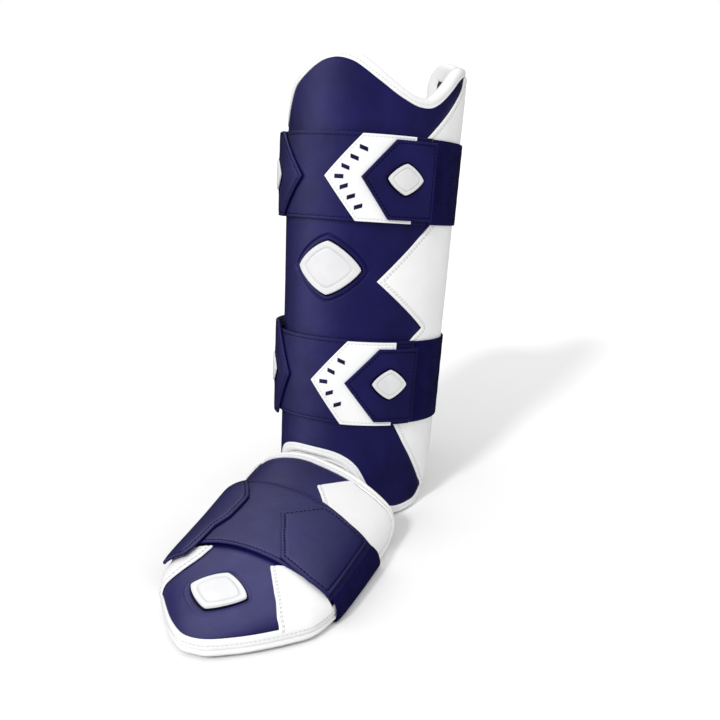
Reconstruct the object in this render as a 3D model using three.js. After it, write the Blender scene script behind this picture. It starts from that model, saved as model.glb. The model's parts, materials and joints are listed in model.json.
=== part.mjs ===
// Batters leg guard: padded shin shell with two straps, and a padded foot guard.
// Millimetres, +Z up, toe toward -Y, outer side of the leg toward +X.
import * as THREE from 'three';

const group = new THREE.Group();
group.name = 'batters_leg_guard';

// ---------- sizes ----------
const SHELL_T = 9.0;      // padding thickness of shin and foot shells
const BIND = { shin: 3.5, foot: 4.4 };         // radius of the edge binding
const BIND_GAP = { shin: 3.9, foot: 4.8 };     // binding centre beyond the shell edge
const BACK = { inner: -124, outer: 156 };      // angles the shin shell reaches from the front
const BASE = new THREE.Vector3(-1, 12, 0);     // shin axis at the floor
const LEAN = new THREE.Vector3(-0.0021, 0.1797, 1).normalize();
const SIDE = new THREE.Vector3(1, 0, 0).addScaledVector(LEAN, -LEAN.x).normalize();
const REAR = new THREE.Vector3().crossVectors(LEAN, SIDE);
const UPPER = { lo: 253.5, hi: 326.5 };        // upper strap, along the shin axis
const LOWER = { lo: 79.5, hi: 153.5 };         // lower strap
const FOOT_EDGE = 11.5;   // height of the foot shell's lower edge

// ---------- colours ----------
const mat = (hex, roughness, metalness = 0) => new THREE.MeshStandardMaterial({ color: new THREE.Color(hex), roughness, metalness });
const NAVY = () => mat('#242252', 0.55);
const NAVY_BAND = () => mat('#201e4a', 0.6);
const ELASTIC = () => mat('#17153a', 0.85);
const WHITE = () => mat('#f2f2f4', 0.5);
const WHITE_BIND = () => mat('#f6f6f8', 0.4);
const MOULD = () => mat('#f7f7f9', 0.35);
const BLACK = () => mat('#0c0c10', 0.9);

// ---------- tables ----------
// rows of [key, value], straight or smooth between rows
function table(rows, smooth = false) {
  return (k) => {
    if (k <= rows[0][0]) return rows[0][1];
    const n = rows.length;
    if (k >= rows[n - 1][0]) return rows[n - 1][1];
    let i = 0;
    while (k > rows[i + 1][0]) i++;
    const [k0, v0] = rows[i], [k1, v1] = rows[i + 1];
    const h = k1 - k0, t = (k - k0) / h;
    if (!smooth) return v0 + (v1 - v0) * t;
    const slope = (a, b) => (rows[b][1] - rows[a][1]) / (rows[b][0] - rows[a][0]);
    const tangent = (j) => {
      if (j <= 0) return slope(0, 1);
      if (j >= n - 1) return slope(n - 2, n - 1);
      const a = slope(j - 1, j), b = slope(j, j + 1);
      return a * b <= 0 ? 0 : (2 * a * b) / (a + b);
    };
    const m0 = tangent(i), m1 = tangent(i + 1);
    const t2 = t * t, t3 = t2 * t;
    return (2 * t3 - 3 * t2 + 1) * v0 + (t3 - 2 * t2 + t) * h * m0 + (3 * t2 - 2 * t3) * v1 + (t3 - t2) * h * m1;
  };
}
// columns: angle round the shin (0 front, + outer side), height of the shell's top edge
const SHIN_TOP = table([
  [-124, 326], [-112, 335], [-100, 338], [-86, 338], [-72, 333], [-61, 333], [-49.2, 348], [-39.7, 363], [-27.7, 372.7],
  [-16.4, 381.2], [-8.1, 385.8], [-0.7, 386.9], [8.3, 384.8], [17.9, 377.6], [27.5, 369], [37.4, 360.4], [45.6, 354.9],
  [53.3, 351.7], [60.4, 351.6], [68, 356.6], [79.7, 369], [89.6, 380], [98, 385], [110, 387], [125, 390], [138, 395], [147, 397], [152, 394], [156, 386]], true);
// columns: angle, height of the shell's bottom edge (arch over the instep, lobe at each ankle)
const SHIN_BOTTOM = table([
  [-124, 84], [-112, 60], [-104, 43], [-98, 24], [-92, 9.8], [-85, 6.5], [-77, 4.95], [-70, 3.4], [-64, 3.1], [-58, 9], [-54, 23], [-49.7, 42], [-38.2, 50.5], [-21.8, 54],
  [-9.9, 54], [5.1, 52.5], [16.5, 48.1], [24.1, 41.4], [29.8, 31.5], [35, 20], [42, 10], [50, 3.9], [57, 1.8], [65, 2.4], [72, 3.9], [78.2, 4.95], [82, 7], [87, 12], [94, 23], [102, 40.5], [112, 60], [124, 80], [140, 104], [156, 124]], true);
// columns: height on the shin, angle of the outer white panel's front edge
const ZIG_OUTER = table([
  [20, 86], [23, 83], [34, 76], [60, 60.4], [80.8, 49.5], [122, 36], [157.2, 62], [164, 69], [204, 31.5], [242.5, 59.3],
  [254.5, 68.6], [268, 78], [313, 50], [332, 64], [351, 78.5], [374, 95.5], [378, 98.5]]);
// columns: height on the shin, angle of the inner white panel's front edge
const ZIG_INNER = table([[40, -95], [60, -86], [122, -72], [166, -88], [206, -72], [268, -90], [313, -74], [330, -80]]);
// columns: distance forward from the shin axis, half width of the foot guard
const FOOT_HALF = table([[30, 69], [57, 71], [100, 72], [160, 70.5], [200, 69.5], [218, 68], [238, 62], [248, 53.5], [258, 44.5], [271, 31.5], [280, 20], [287, 9]], true);
// columns: distance forward, height of the foot guard's crown
const FOOT_CROWN = table([[30, 61], [57, 58.5], [100, 53], [150, 47], [200, 40], [232, 32.5], [250, 27.5], [264, 23], [277, 18.5], [287, 15]], true);
// columns: distance forward, sideways place of the foot guard's middle line
const FOOT_MID = table([[30, -1], [57, -0.5], [100, 1.5], [160, 5], [200, 6], [218, 6], [240, 7], [258, 5.5], [271, 3.5], [287, 0]], true);
// columns: position across the foot (-1 inner edge, 1 outer edge), distance forward of the ankle edge
const FOOT_BACK = table([
  [-1, 68], [-0.9, 60], [-0.8, 57], [-0.605, 55], [-0.325, 58.7], [-0.16, 60.3], [-0.044, 63.2], [0.033, 67.9], [0.148, 72.2],
  [0.261, 75.5], [0.4, 79], [0.579, 80.1], [0.827, 76.6], [0.93, 79], [1, 90]], true);
// columns: position across, distance forward of the instep band's rear and front edges
const BAND_REAR = table([
  [-1, 96], [-0.6, 104], [-0.33, 108], [-0.182, 110.2], [-0.081, 112], [0.007, 115], [0.091, 118.6], [0.175, 122.5],
  [0.324, 129.2], [0.488, 134], [0.701, 135.4], [0.911, 130.1], [1, 124]], true);
const BAND_FRONT = table([
  [-1, 203], [-0.7, 205.5], [-0.46, 203.5], [-0.287, 201], [-0.144, 200.5], [-0.041, 201.3], [0.045, 203.9], [0.102, 205.4],
  [0.171, 207.3], [0.3, 210], [0.448, 212.3], [0.709, 214.4], [0.842, 215], [1, 211.3]], true);

const mix = (a, b, t) => a + (b - a) * t;

// ---------- surfaces ----------
const halfX = (w) => 66.6 + 9.5 * (w / 390);
const halfY = (w) => 72.7 + 20.2 * (w / 390);
// point on the shin at angle (degrees) and height, out from the shell's outer face
function shin(angle, w, out) {
  const a = THREE.MathUtils.degToRad(angle);
  return new THREE.Vector3().copy(BASE).addScaledVector(LEAN, w)
    .addScaledVector(SIDE, (halfX(w) + out) * Math.sin(a))
    .addScaledVector(REAR, -(halfY(w) + out) * Math.cos(a));
}
const power = 2 / 2.5;
// point on the foot guard at position across u and distance forward t
function foot(u, t, out) {
  const a = u * Math.PI / 2;
  const X = Math.sign(u) * Math.pow(Math.abs(Math.sin(a)), power);
  const Z = Math.pow(Math.max(Math.cos(a), 0), power);
  const x = Math.max(FOOT_HALF(t) + out, 2.5) * X;
  const rise = Math.max(FOOT_CROWN(t) + out - FOOT_EDGE, 0.6);
  return new THREE.Vector3(FOOT_MID(t) + x, -t, FOOT_EDGE + rise * Z - 0.05 * x * Z * Math.min(1, rise / 20));
}

// point on the foot guard at sideways distance x from its middle line and distance forward t
function footAt(x, t, out) {
  const X = x / FOOT_HALF(t);
  return foot(Math.sign(X) * Math.asin(Math.pow(Math.abs(X), 1.25)) * 2 / Math.PI, t, out);
}

// ---------- solids ----------
function mesh(name, material, points, faces) {
  const pos = new Float32Array(points.length * 3);
  points.forEach((p, i) => { pos[3 * i] = p.x; pos[3 * i + 1] = p.y; pos[3 * i + 2] = p.z; });
  let vol = 0;
  for (const [a, b, c] of faces) vol += points[a].dot(new THREE.Vector3().crossVectors(points[b], points[c]));
  const index = vol >= 0 ? faces.flat() : faces.map(([a, b, c]) => [a, c, b]).flat();
  const g = new THREE.BufferGeometry();
  g.setAttribute('position', new THREE.BufferAttribute(pos, 3));
  g.setIndex(index);
  g.computeVertexNormals();
  const m = new THREE.Mesh(g, material);
  m.name = name;
  group.add(m);
  return m;
}
// sheet of even thickness: at(i/ni, j/nj, layer) with layer 0 inside, 1 outside
function slab(name, material, ni, nj, at) {
  const P = [], F = [];
  const id = (l, i, j) => l * (ni + 1) * (nj + 1) + i * (nj + 1) + j;
  for (let l = 0; l < 2; l++) for (let i = 0; i <= ni; i++) for (let j = 0; j <= nj; j++) P.push(at(i / ni, j / nj, l));
  for (let i = 0; i < ni; i++) for (let j = 0; j < nj; j++) {
    // each cell is cut along its shorter diagonal
    const a = P[id(1, i, j)].distanceTo(P[id(1, i + 1, j + 1)]), b = P[id(1, i + 1, j)].distanceTo(P[id(1, i, j + 1)]);
    const cut = a <= b + 1e-6
      ? [[[i, j], [i + 1, j], [i + 1, j + 1]], [[i, j], [i + 1, j + 1], [i, j + 1]]]
      : [[[i, j], [i + 1, j], [i, j + 1]], [[i + 1, j], [i + 1, j + 1], [i, j + 1]]];
    for (const [p, q, r] of cut) {
      F.push([id(1, ...p), id(1, ...q), id(1, ...r)], [id(0, ...p), id(0, ...r), id(0, ...q)]);
    }
  }
  const wall = (a, b) => {
    F.push([id(0, ...a), id(0, ...b), id(1, ...b)], [id(0, ...a), id(1, ...b), id(1, ...a)]);
  };
  for (let i = 0; i < ni; i++) { wall([i, 0], [i + 1, 0]); wall([i + 1, nj], [i, nj]); }
  for (let j = 0; j < nj; j++) { wall([0, j + 1], [0, j]); wall([ni, j], [ni, j + 1]); }
  return mesh(name, material, P, F);
}
// round bead along a closed path
function bead(name, material, path, radius, sides) {
  const P = [], F = [], n = path.length;
  const up = new THREE.Vector3(0.13, 0.21, 0.97).normalize();
  let normal = null;
  for (let k = 0; k < n; k++) {
    const dir = new THREE.Vector3().subVectors(path[(k + 1) % n], path[(k + n - 1) % n]).normalize();
    if (!normal) normal = new THREE.Vector3().crossVectors(dir, up).normalize();
    normal = normal.clone().addScaledVector(dir, -normal.dot(dir)).normalize();
    const other = new THREE.Vector3().crossVectors(dir, normal);
    for (let s = 0; s < sides; s++) {
      const a = (s / sides) * Math.PI * 2;
      P.push(path[k].clone().addScaledVector(normal, radius * Math.cos(a)).addScaledVector(other, radius * Math.sin(a)));
    }
  }
  // the frame may come back turned by some steps: join the ends at the nearest match
  let shift = 0, best = Infinity;
  for (let s = 0; s < sides; s++) {
    const d = P[(n - 1) * sides].distanceTo(P[s]);
    if (d < best) { best = d; shift = s; }
  }
  for (let k = 0; k < n; k++) for (let s = 0; s < sides; s++) {
    const k1 = (k + 1) % n, off = k === n - 1 ? shift : 0;
    const a = k * sides + s, b = k * sides + (s + 1) % sides;
    const c = k1 * sides + (s + off) % sides, d = k1 * sides + (s + 1 + off) % sides;
    F.push([a, c, d], [a, d, b]);
  }
  return mesh(name, material, P, F);
}
// part a..b of a closed path as a bead of its own, ends cut square with a small gap to its neighbours
function beadPart(name, material, path, a, b, radius, sides, gap = 0.15) {
  const n = path.length, P = [], F = [], count = ((b - a + n) % n) + 1;
  const up = new THREE.Vector3(0.13, 0.21, 0.97).normalize();
  const at = (k) => path[((k % n) + n) % n];
  let normal = null;
  for (let k = 0; k < count; k++) {
    const dir = new THREE.Vector3().subVectors(at(a + k + 1), at(a + k - 1)).normalize();
    if (!normal) normal = new THREE.Vector3().crossVectors(dir, up).normalize();
    normal = normal.clone().addScaledVector(dir, -normal.dot(dir)).normalize();
    const other = new THREE.Vector3().crossVectors(dir, normal);
    const centre = at(a + k).clone().addScaledVector(dir, k === 0 ? gap : k === count - 1 ? -gap : 0);
    for (let s = 0; s < sides; s++) {
      const q = (s / sides) * Math.PI * 2;
      P.push(centre.clone().addScaledVector(normal, radius * Math.cos(q)).addScaledVector(other, radius * Math.sin(q)));
    }
  }
  for (let k = 0; k < count - 1; k++) for (let s = 0; s < sides; s++) {
    const s1 = (s + 1) % sides, lo = k * sides, hi = lo + sides;
    F.push([lo + s, hi + s, hi + s1], [lo + s, hi + s1, lo + s1]);
  }
  for (let s = 1; s < sides - 1; s++) {
    const e = (count - 1) * sides;
    F.push([0, s, s + 1], [e, e + s + 1, e + s]);
  }
  return mesh(name, material, P, F);
}
// index of the path point nearest to p
const nearest = (path, p) => path.reduce((best, q, k) => (q.distanceTo(p) < path[best].distanceTo(p) ? k : best), 0);
// path of a bead that runs just outside an edge given as pairs on a surface
function rim(pairs, surface, out, gap, closed = true) {
  const pts = pairs.map(([p, q]) => surface(p, q, out));
  const n = pts.length, path = [];
  const normalAt = ([p, q]) => {
    const dp = Math.abs(p) > 2 ? 0.5 : 0.01;
    const du = new THREE.Vector3().subVectors(surface(p + dp, q, out), surface(p - dp, q, out));
    const dv = new THREE.Vector3().subVectors(surface(p, q + 0.5, out), surface(p, q - 0.5, out));
    return du.cross(dv).normalize();
  };
  let centre = new THREE.Vector3();
  for (const p of pts) centre.addScaledVector(p, 1 / n);
  let sign = 0;
  for (let k = 0; k < n; k++) {
    const prev = closed ? (k + n - 1) % n : Math.max(k - 1, 0), next = closed ? (k + 1) % n : Math.min(k + 1, n - 1);
    const nn = normalAt(pairs[k]);
    const d1 = new THREE.Vector3().subVectors(pts[k], pts[prev]), d2 = new THREE.Vector3().subVectors(pts[next], pts[k]);
    if (d1.length() < 1e-6) d1.copy(d2);
    if (d2.length() < 1e-6) d2.copy(d1);
    d1.addScaledVector(nn, -nn.dot(d1)).normalize();
    d2.addScaledVector(nn, -nn.dot(d2)).normalize();
    const m1 = new THREE.Vector3().crossVectors(nn, d1), m2 = new THREE.Vector3().crossVectors(nn, d2);
    if (!sign) {
      // outward is away from a point a little inside the patch
      const inside = closed ? surface(0, pairs[k][1] - 30, out) : surface(pairs[k][0], pairs[k][1] + 20, out);
      sign = m1.dot(new THREE.Vector3().subVectors(pts[k], inside)) >= 0 ? 1 : -1;
    }
    m1.multiplyScalar(sign); m2.multiplyScalar(sign);
    const bis = new THREE.Vector3().addVectors(m1, m2).normalize();
    const half = Math.acos(Math.min(1, Math.max(-1, m1.dot(bis))));
    const convex = m1.dot(d2) < 0;
    if (convex && half > 0.2) {
      for (const m of [m1, bis, m2]) path.push(pts[k].clone().addScaledVector(m, gap + (m === bis ? 0.2 : 0.1)));
    } else path.push(pts[k].clone().addScaledVector(bis, gap / Math.max(0.5, Math.cos(half))));
  }
  // drop points that a hollow in the edge brings too near it
  const seg = new THREE.Line3(), near = new THREE.Vector3();
  return path.filter((p) => {
    for (let k = 0; k < (closed ? n : n - 1); k++) {
      seg.set(pts[k], pts[(k + 1) % n]);
      seg.closestPointToPoint(p, true, near);
      if (near.distanceTo(p) < gap - 0.25) return false;
    }
    return true;
  });
}
// moulded badge: rounded diamond, at(a, b, out) maps local millimetres onto a surface
function badge(name, halfA, halfB, out0, out1, at, rings = 2, steps = 20) {
  const P = [], F = [];
  const edge = (phi) => 1 / Math.pow(Math.pow(Math.abs(Math.cos(phi)) / halfA, 1.3) + Math.pow(Math.abs(Math.sin(phi)) / halfB, 1.3), 1 / 1.3);
  for (let l = 0; l < 2; l++) {
    P.push(at(0, 0, l ? out1 : out0));
    for (let r = 1; r <= rings; r++) for (let s = 0; s < steps; s++) {
      const phi = (s / steps) * Math.PI * 2, q = edge(phi) * (r / rings);
      P.push(at(q * Math.cos(phi), q * Math.sin(phi), l ? out1 : out0));
    }
  }
  const per = 1 + rings * steps;
  const id = (l, r, s) => l * per + (r === 0 ? 0 : 1 + (r - 1) * steps + ((s + steps) % steps));
  for (let l = 0; l < 2; l++) for (let s = 0; s < steps; s++) {
    const tri = (a, b, c) => F.push(l ? [a, b, c] : [a, c, b]);
    tri(id(l, 0, 0), id(l, 1, s), id(l, 1, s + 1));
    for (let r = 1; r < rings; r++) {
      tri(id(l, r, s), id(l, r + 1, s), id(l, r + 1, s + 1));
      tri(id(l, r, s), id(l, r + 1, s + 1), id(l, r, s + 1));
    }
  }
  for (let s = 0; s < steps; s++) {
    F.push([id(0, rings, s), id(0, rings, s + 1), id(1, rings, s + 1)], [id(0, rings, s), id(1, rings, s + 1), id(1, rings, s)]);
  }
  return mesh(name, MOULD(), P, F);
}

// ---------- shin ----------
slab('shin_shell', NAVY(), 36, 7, (i, j, l) => {
  const a = mix(BACK.inner, BACK.outer, i);
  return shin(a, mix(SHIN_BOTTOM(a), SHIN_TOP(a), j), l ? 0 : -SHELL_T);
});
slab('shin_lining', BLACK(), 20, 4, (i, j, l) => {
  const a = mix(BACK.inner + 4, BACK.outer - 4, i);
  return shin(a, mix(SHIN_BOTTOM(a) + 4, SHIN_TOP(a) - 4, j), l ? -SHELL_T - 0.5 : -SHELL_T - 1.6);
});
{
  const ring = [];
  for (let k = 0; k < 36; k++) { const a = mix(BACK.inner, BACK.outer, k / 36); ring.push([a, SHIN_TOP(a)]); }
  for (let k = 0; k < 7; k++) ring.push([BACK.outer, mix(SHIN_TOP(BACK.outer), SHIN_BOTTOM(BACK.outer), k / 7)]);
  for (let k = 0; k < 36; k++) { const a = mix(BACK.outer, BACK.inner, k / 36); ring.push([a, SHIN_BOTTOM(a)]); }
  for (let k = 0; k < 7; k++) ring.push([BACK.inner, mix(SHIN_BOTTOM(BACK.inner), SHIN_TOP(BACK.inner), k / 7)]);
  // one binding in six lengths, joined end to end: each is a simple curve
  const path = rim(ring, shin, -SHELL_T / 2, BIND_GAP.shin);
  const cut = (angle, w, lift) => nearest(path, shin(angle, w + lift, -SHELL_T / 2));
  const cuts = [
    ['shin_binding_top', cut(BACK.inner, SHIN_TOP(BACK.inner), BIND_GAP.shin)],
    ['shin_binding_flap', cut(57, SHIN_TOP(57), BIND_GAP.shin)],
    ['shin_binding_outer', cut(BACK.outer, SHIN_TOP(BACK.outer), 0)],
    ['shin_binding_outer_lobe', cut(BACK.outer, SHIN_BOTTOM(BACK.outer), 0)],
    ['shin_binding_inner_lobe', cut(0, SHIN_BOTTOM(0), -BIND_GAP.shin)],
    ['shin_binding_inner', cut(BACK.inner, SHIN_BOTTOM(BACK.inner), 0)],
  ];
  cuts.forEach(([name, from], k) => beadPart(name, WHITE_BIND(), path, from, cuts[(k + 1) % cuts.length][1], BIND.shin, 7));
}
slab('shin_panel_outer', WHITE(), 30, 14, (i, j, l) => {
  const w = mix(20, 377, i);
  const rear = table([[20, 89], [44, 101], [66, 111], [84, 121], [104, 134], [130, 151], [377, 151]])(w);
  return shin(mix(ZIG_OUTER(w), rear, j), w, l ? 1.8 : 0.6);
});
slab('shin_panel_inner', WHITE(), 18, 6, (i, j, l) => {
  const w = mix(62, 326, i);
  const rear = table([[62, -108], [86, -118], [322, -119], [326, -117]])(w);
  return shin(mix(ZIG_INNER(w), rear, j), w, l ? 1.7 : 0.6);
});
badge('shin_badge', 30.5, 23, 0.8, 2.8, (a, b, out) => shin(-2.5 + a / 1.3, 213 + b, out));

// ---------- straps round the shin ----------
for (const [name, band, mid] of [['upper', UPPER, 290.5], ['lower', LOWER, 116]]) {
  slab(`${name}_band`, NAVY_BAND(), 22, 1, (i, j, l) => shin(mix(-66, 62.5, i), mix(band.lo, band.hi, j), l ? 4.3 : 2.4));
  slab(`${name}_elastic`, ELASTIC(), 36, 1, (i, j, l) => shin(mix(64, 292.5, i), mix(band.lo + 0.5, band.hi - 0.5, j), l ? 4.4 : 2.7));
}
// columns of each pair: height, angle of the tab's pointed edge
const TAB_EDGES = {
  upper_tab_backing: [[254, 15.5], [290, -5], [326, 18]],
  upper_tab_outer: [[256.6, 34.5], [290.7, 18], [322.8, 37.2]],
  upper_tab_inner: [[253.5, -44.5], [289, -21.5], [326.5, -45.5]],
  lower_tab_backing: [[79.2, 12.2], [115.7, -9.8], [152.4, 14.8]],
  lower_tab_outer: [[82.8, 34], [116.1, 14], [147, 35]],
  lower_tab_inner: [[76, -48], [116.2, -29.8], [160, -48.5]],
};
function tab(name, material, far, out0, out1, cols) {
  const rows = TAB_EDGES[name], edge = table(rows);
  const lo = rows[0][0], tip = rows[1][0], hi = rows[2][0];
  slab(name, material, 6, cols, (i, j, l) => {
    const w = i < 0.5 ? mix(lo, tip, i * 2) : mix(tip, hi, i * 2 - 1);
    return shin(mix(edge(w), far, j), w, l ? out1 : out0);
  });
}
tab('upper_tab_backing', WHITE(), 50, 4.8, 6.2, 6);
tab('lower_tab_backing', WHITE(), 46.5, 4.8, 6.2, 6);
tab('upper_tab_outer', NAVY(), 64, 6.7, 9.0, 5);
tab('lower_tab_outer', NAVY(), 61.8, 6.7, 9.0, 5);
tab('upper_tab_inner', NAVY(), -92, 4.9, 7.4, 8);
tab('lower_tab_inner', NAVY(), -92, 4.9, 7.4, 8);
badge('upper_badge_outer', 14.5, 13, 9.4, 11.2, (a, b, out) => shin(43.9 + a / 1.36, 290.5 + b, out), 2, 20);
badge('lower_badge_outer', 14.5, 13, 9.4, 11.2, (a, b, out) => shin(42.6 + a / 1.29, 116.5 + b, out), 2, 20);
badge('upper_badge_inner', 14.5, 13, 7.8, 9.6, (a, b, out) => shin(-56.5 + a / 1.45, 289.5 + b, out), 2, 20);
badge('lower_badge_inner', 14.5, 13, 7.8, 9.6, (a, b, out) => shin(-58.5 + a / 1.36, 117 + b, out), 2, 20);

// ---------- foot guard ----------
const TIP = 287;
slab('foot_shell', NAVY(), 28, 10, (i, j, l) => {
  const u = mix(-1, 1, i);
  const t = mix(FOOT_BACK(u), TIP, j);
  return l ? foot(u, t, 0) : foot(u, mix(FOOT_BACK(u), TIP - 10, j), -SHELL_T);
});
{
  const back = [];
  for (let k = 0; k <= 28; k++) { const u = mix(-1, 1, k / 28); back.push([u, FOOT_BACK(u)]); }
  const path = rim(back, foot, -SHELL_T / 2, BIND_GAP.foot, false);
  const low = FOOT_EDGE - BIND_GAP.foot;
  const side = (u, t) => { const p = foot(u, t, -SHELL_T / 2); p.z = low; return p; };
  // the bead turns under at both rear corners
  for (const u of [1, -1]) {
    const heel = foot(u, FOOT_BACK(u), -SHELL_T / 2);
    heel.y += 3.6; heel.z -= 3.6;
    const turn = [heel, side(u, FOOT_BACK(u) + 0.5)];
    if (u > 0) path.push(...turn); else path.unshift(turn[1], turn[0]);
  }
  const along = [103, 118, 133, 148, 163, 178, 193, 206, 216, 225, 233, 240, 247, 254, 261, 267, 272, 277, 281, 284.6];
  for (const t of along) path.push(side(1, t));
  for (const t of [...along].reverse()) path.push(side(-1, t));
  path.push(side(-1, 86));
  bead('foot_binding', WHITE_BIND(), path, BIND.foot, 7);
}
// toe panels: columns of each pair are position across, distance forward
const TOE_OUTER_REAR = table([[0.125, 210], [0.211, 205.5], [0.45, 211.5], [0.83, 214.5], [0.9, 214.5]]);
const TOE_OUTER_FRONT = table([[0.125, 212.5], [0.158, 218.4], [0.206, 225.9], [0.274, 234.7], [0.38, 243.2], [0.589, 251.6], [0.9, 256]], true);
slab('foot_panel_toe_outer', WHITE(), 12, 3, (i, j, l) => {
  const u = mix(0.125, 0.9, i);
  return foot(u, mix(TOE_OUTER_REAR(u), TOE_OUTER_FRONT(u), j), l ? 1.8 : 0.75);
});
const TOE_INNER_REAR = table([[-0.9, 210.5], [-0.7, 209.5], [-0.57, 205.5], [-0.46, 204], [-0.277, 202.2]]);
const TOE_INNER_FRONT = table([[-0.9, 246], [-0.65, 239.5], [-0.534, 234.7], [-0.409, 226.1], [-0.323, 216], [-0.277, 203.8]], true);
slab('foot_panel_toe_inner', WHITE(), 12, 3, (i, j, l) => {
  const u = mix(-0.9, -0.277, i);
  return foot(u, mix(TOE_INNER_REAR(u), TOE_INNER_FRONT(u), j), l ? 1.8 : 0.85);
});
const ANKLE_OUTER_FRONT = table([[0.067, 100.5], [0.106, 107.9], [0.157, 118.1], [0.19, 124.5], [0.324, 130], [0.5, 133], [0.7, 129], [0.9, 119]]);
const ANKLE_OUTER_REAR = table([[0.067, 98.7], [0.129, 91.3], [0.192, 84.3], [0.264, 77.5], [0.4, 81], [0.58, 82], [0.83, 79], [0.9, 81]]);
slab('foot_panel_ankle_outer', WHITE(), 12, 3, (i, j, l) => {
  const u = mix(0.067, 0.9, i);
  return foot(u, mix(ANKLE_OUTER_REAR(u), ANKLE_OUTER_FRONT(u), j), l ? 2.0 : 0.7);
});
slab('foot_panel_ankle_inner', WHITE(), 6, 2, (i, j, l) => {
  const u = mix(-0.9, -0.62, i);
  return foot(u, mix(63, mix(95, 68, i), j), l ? 2.0 : 0.7);
});
slab('foot_band', NAVY_BAND(), 22, 5, (i, j, l) => {
  const u = mix(-0.75, 0.75, i);
  return foot(u, mix(BAND_REAR(u), BAND_FRONT(u), j), l ? 4.0 : 2.1);
});
const TAB_OUTER_REAR = table([[0, 152.5], [0.091, 141.9], [0.196, 130.3], [0.261, 131.8], [0.405, 136.6], [0.585, 140.3], [0.7, 140.5]]);
const TAB_OUTER_FRONT = table([[0, 155], [0.064, 180.3], [0.147, 204.1], [0.263, 209.5], [0.409, 214], [0.542, 215.8], [0.7, 216.8]]);
slab('foot_tab_outer', NAVY(), 12, 4, (i, j, l) => {
  const u = mix(0, 0.7, i);
  return foot(u, mix(TAB_OUTER_REAR(u), TAB_OUTER_FRONT(u), j), l ? 6.4 : 4.5);
});
const TAB_INNER_REAR = table([[-0.74, 111], [-0.54, 111.6], [-0.367, 111.4], [-0.294, 124.3], [-0.24, 138]]);
const TAB_INNER_FRONT = table([[-0.74, 221], [-0.435, 219], [-0.392, 212.9], [-0.361, 200.5], [-0.338, 184.2], [-0.305, 177.1], [-0.269, 169.1], [-0.25, 153.7], [-0.24, 140]]);
slab('foot_tab_inner', NAVY(), 11, 5, (i, j, l) => {
  const u = mix(-0.74, -0.24, i);
  return foot(u, mix(TAB_INNER_REAR(u), TAB_INNER_FRONT(u), j), l ? 7.4 : 4.8);
});
// elastic under the sole: profile from the outer side, under, to the inner side
{
  // columns: share of the way from the outer side to the inner, distance forward
  const UNDER_REAR = table([[0, 132], [0.25, 122], [0.75, 98], [1, 103]]);
  const UNDER_FRONT = table([[0, 213.5], [0.25, 211], [0.75, 203], [1, 206]]);
  // columns: offset from the foot's half width (out layer, in layer), height (out, in)
  const corner = [[2.4, 0.5, 7.5, 7.5], [1.6, 0.0, 2.6, 4.2], [-1.4, -2.2, 0.4, 2.4], [-6, -6, 0, 1.9], [-30, -30, 0, 1.9]];
  const turn = [0.78, 0.84, 0.9, 0.95, 1.0];
  const stations = [...turn.map((u) => ({ u })), ...corner.map((c) => ({ s: 1, c })), { s: 0 },
    ...corner.slice().reverse().map((c) => ({ s: -1, c })), ...turn.slice().reverse().map((u) => ({ u: -u }))];
  const n = stations.length - 1;
  slab('foot_elastic', ELASTIC(), n, 4, (i, j, l) => {
    const st = stations[Math.round(i * n)];
    const t = mix(UNDER_REAR(i), UNDER_FRONT(i), j);
    if (st.u !== undefined) return foot(st.u, t, l ? 2.4 : 0.5);
    if (st.s === 0) return new THREE.Vector3(FOOT_MID(t), -t, l ? 0 : 1.9);
    const half = FOOT_HALF(t);
    return new THREE.Vector3(FOOT_MID(t) + st.s * (half + st.c[l ? 0 : 1]), -t, st.c[l ? 2 : 3]);
  });
}
badge('foot_badge', 22.5, 17, 0.5, 2.8, (a, b, out) => footAt(-8.3 + a, 244.5 - b, out));
// flexible join between shin and foot: hangs inside the shin's arch and runs under the instep
slab('ankle_gusset', WHITE(), 14, 6, (i, j, l) => {
  const angle = mix(-44, 25, i), u = mix(-0.46, 0.25, i), t = FOOT_BACK(u), low = SHIN_BOTTOM(angle);
  const k = l ? 0 : -1.5;
  const line = [shin(angle, low + 14, -11.6 + k), shin(angle, low - 5, -11.8 + k), shin(angle, low - 15, -10 + k),
    foot(u, t + 3, -14 + k), foot(u, t + 16, -12 + k)];
  const at = [0, 0.3, 0.5, 0.75, 1];
  let s = 0;
  while (s < 3 && j > at[s + 1]) s++;
  return line[s].clone().lerp(line[s + 1], (j - at[s]) / (at[s + 1] - at[s]));
});

// ---------- stand the part on Z = 0, centred ----------
const box = new THREE.Box3().setFromObject(group);
const shift = new THREE.Vector3(-(box.min.x + box.max.x) / 2, -(box.min.y + box.max.y) / 2, -box.min.z);
group.traverse((o) => { if (o.isMesh) o.geometry.translate(shift.x, shift.y, shift.z); });

export default group;
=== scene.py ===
# Batters leg guard: detailed visual pieces over the CAD frame.
# Metres in the row frame; the tables below are millimetres before the frame's shift.
import json
import math
import bpy
import numpy as np
from mathutils import Matrix, Vector
from mathutils.kdtree import KDTree

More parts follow.
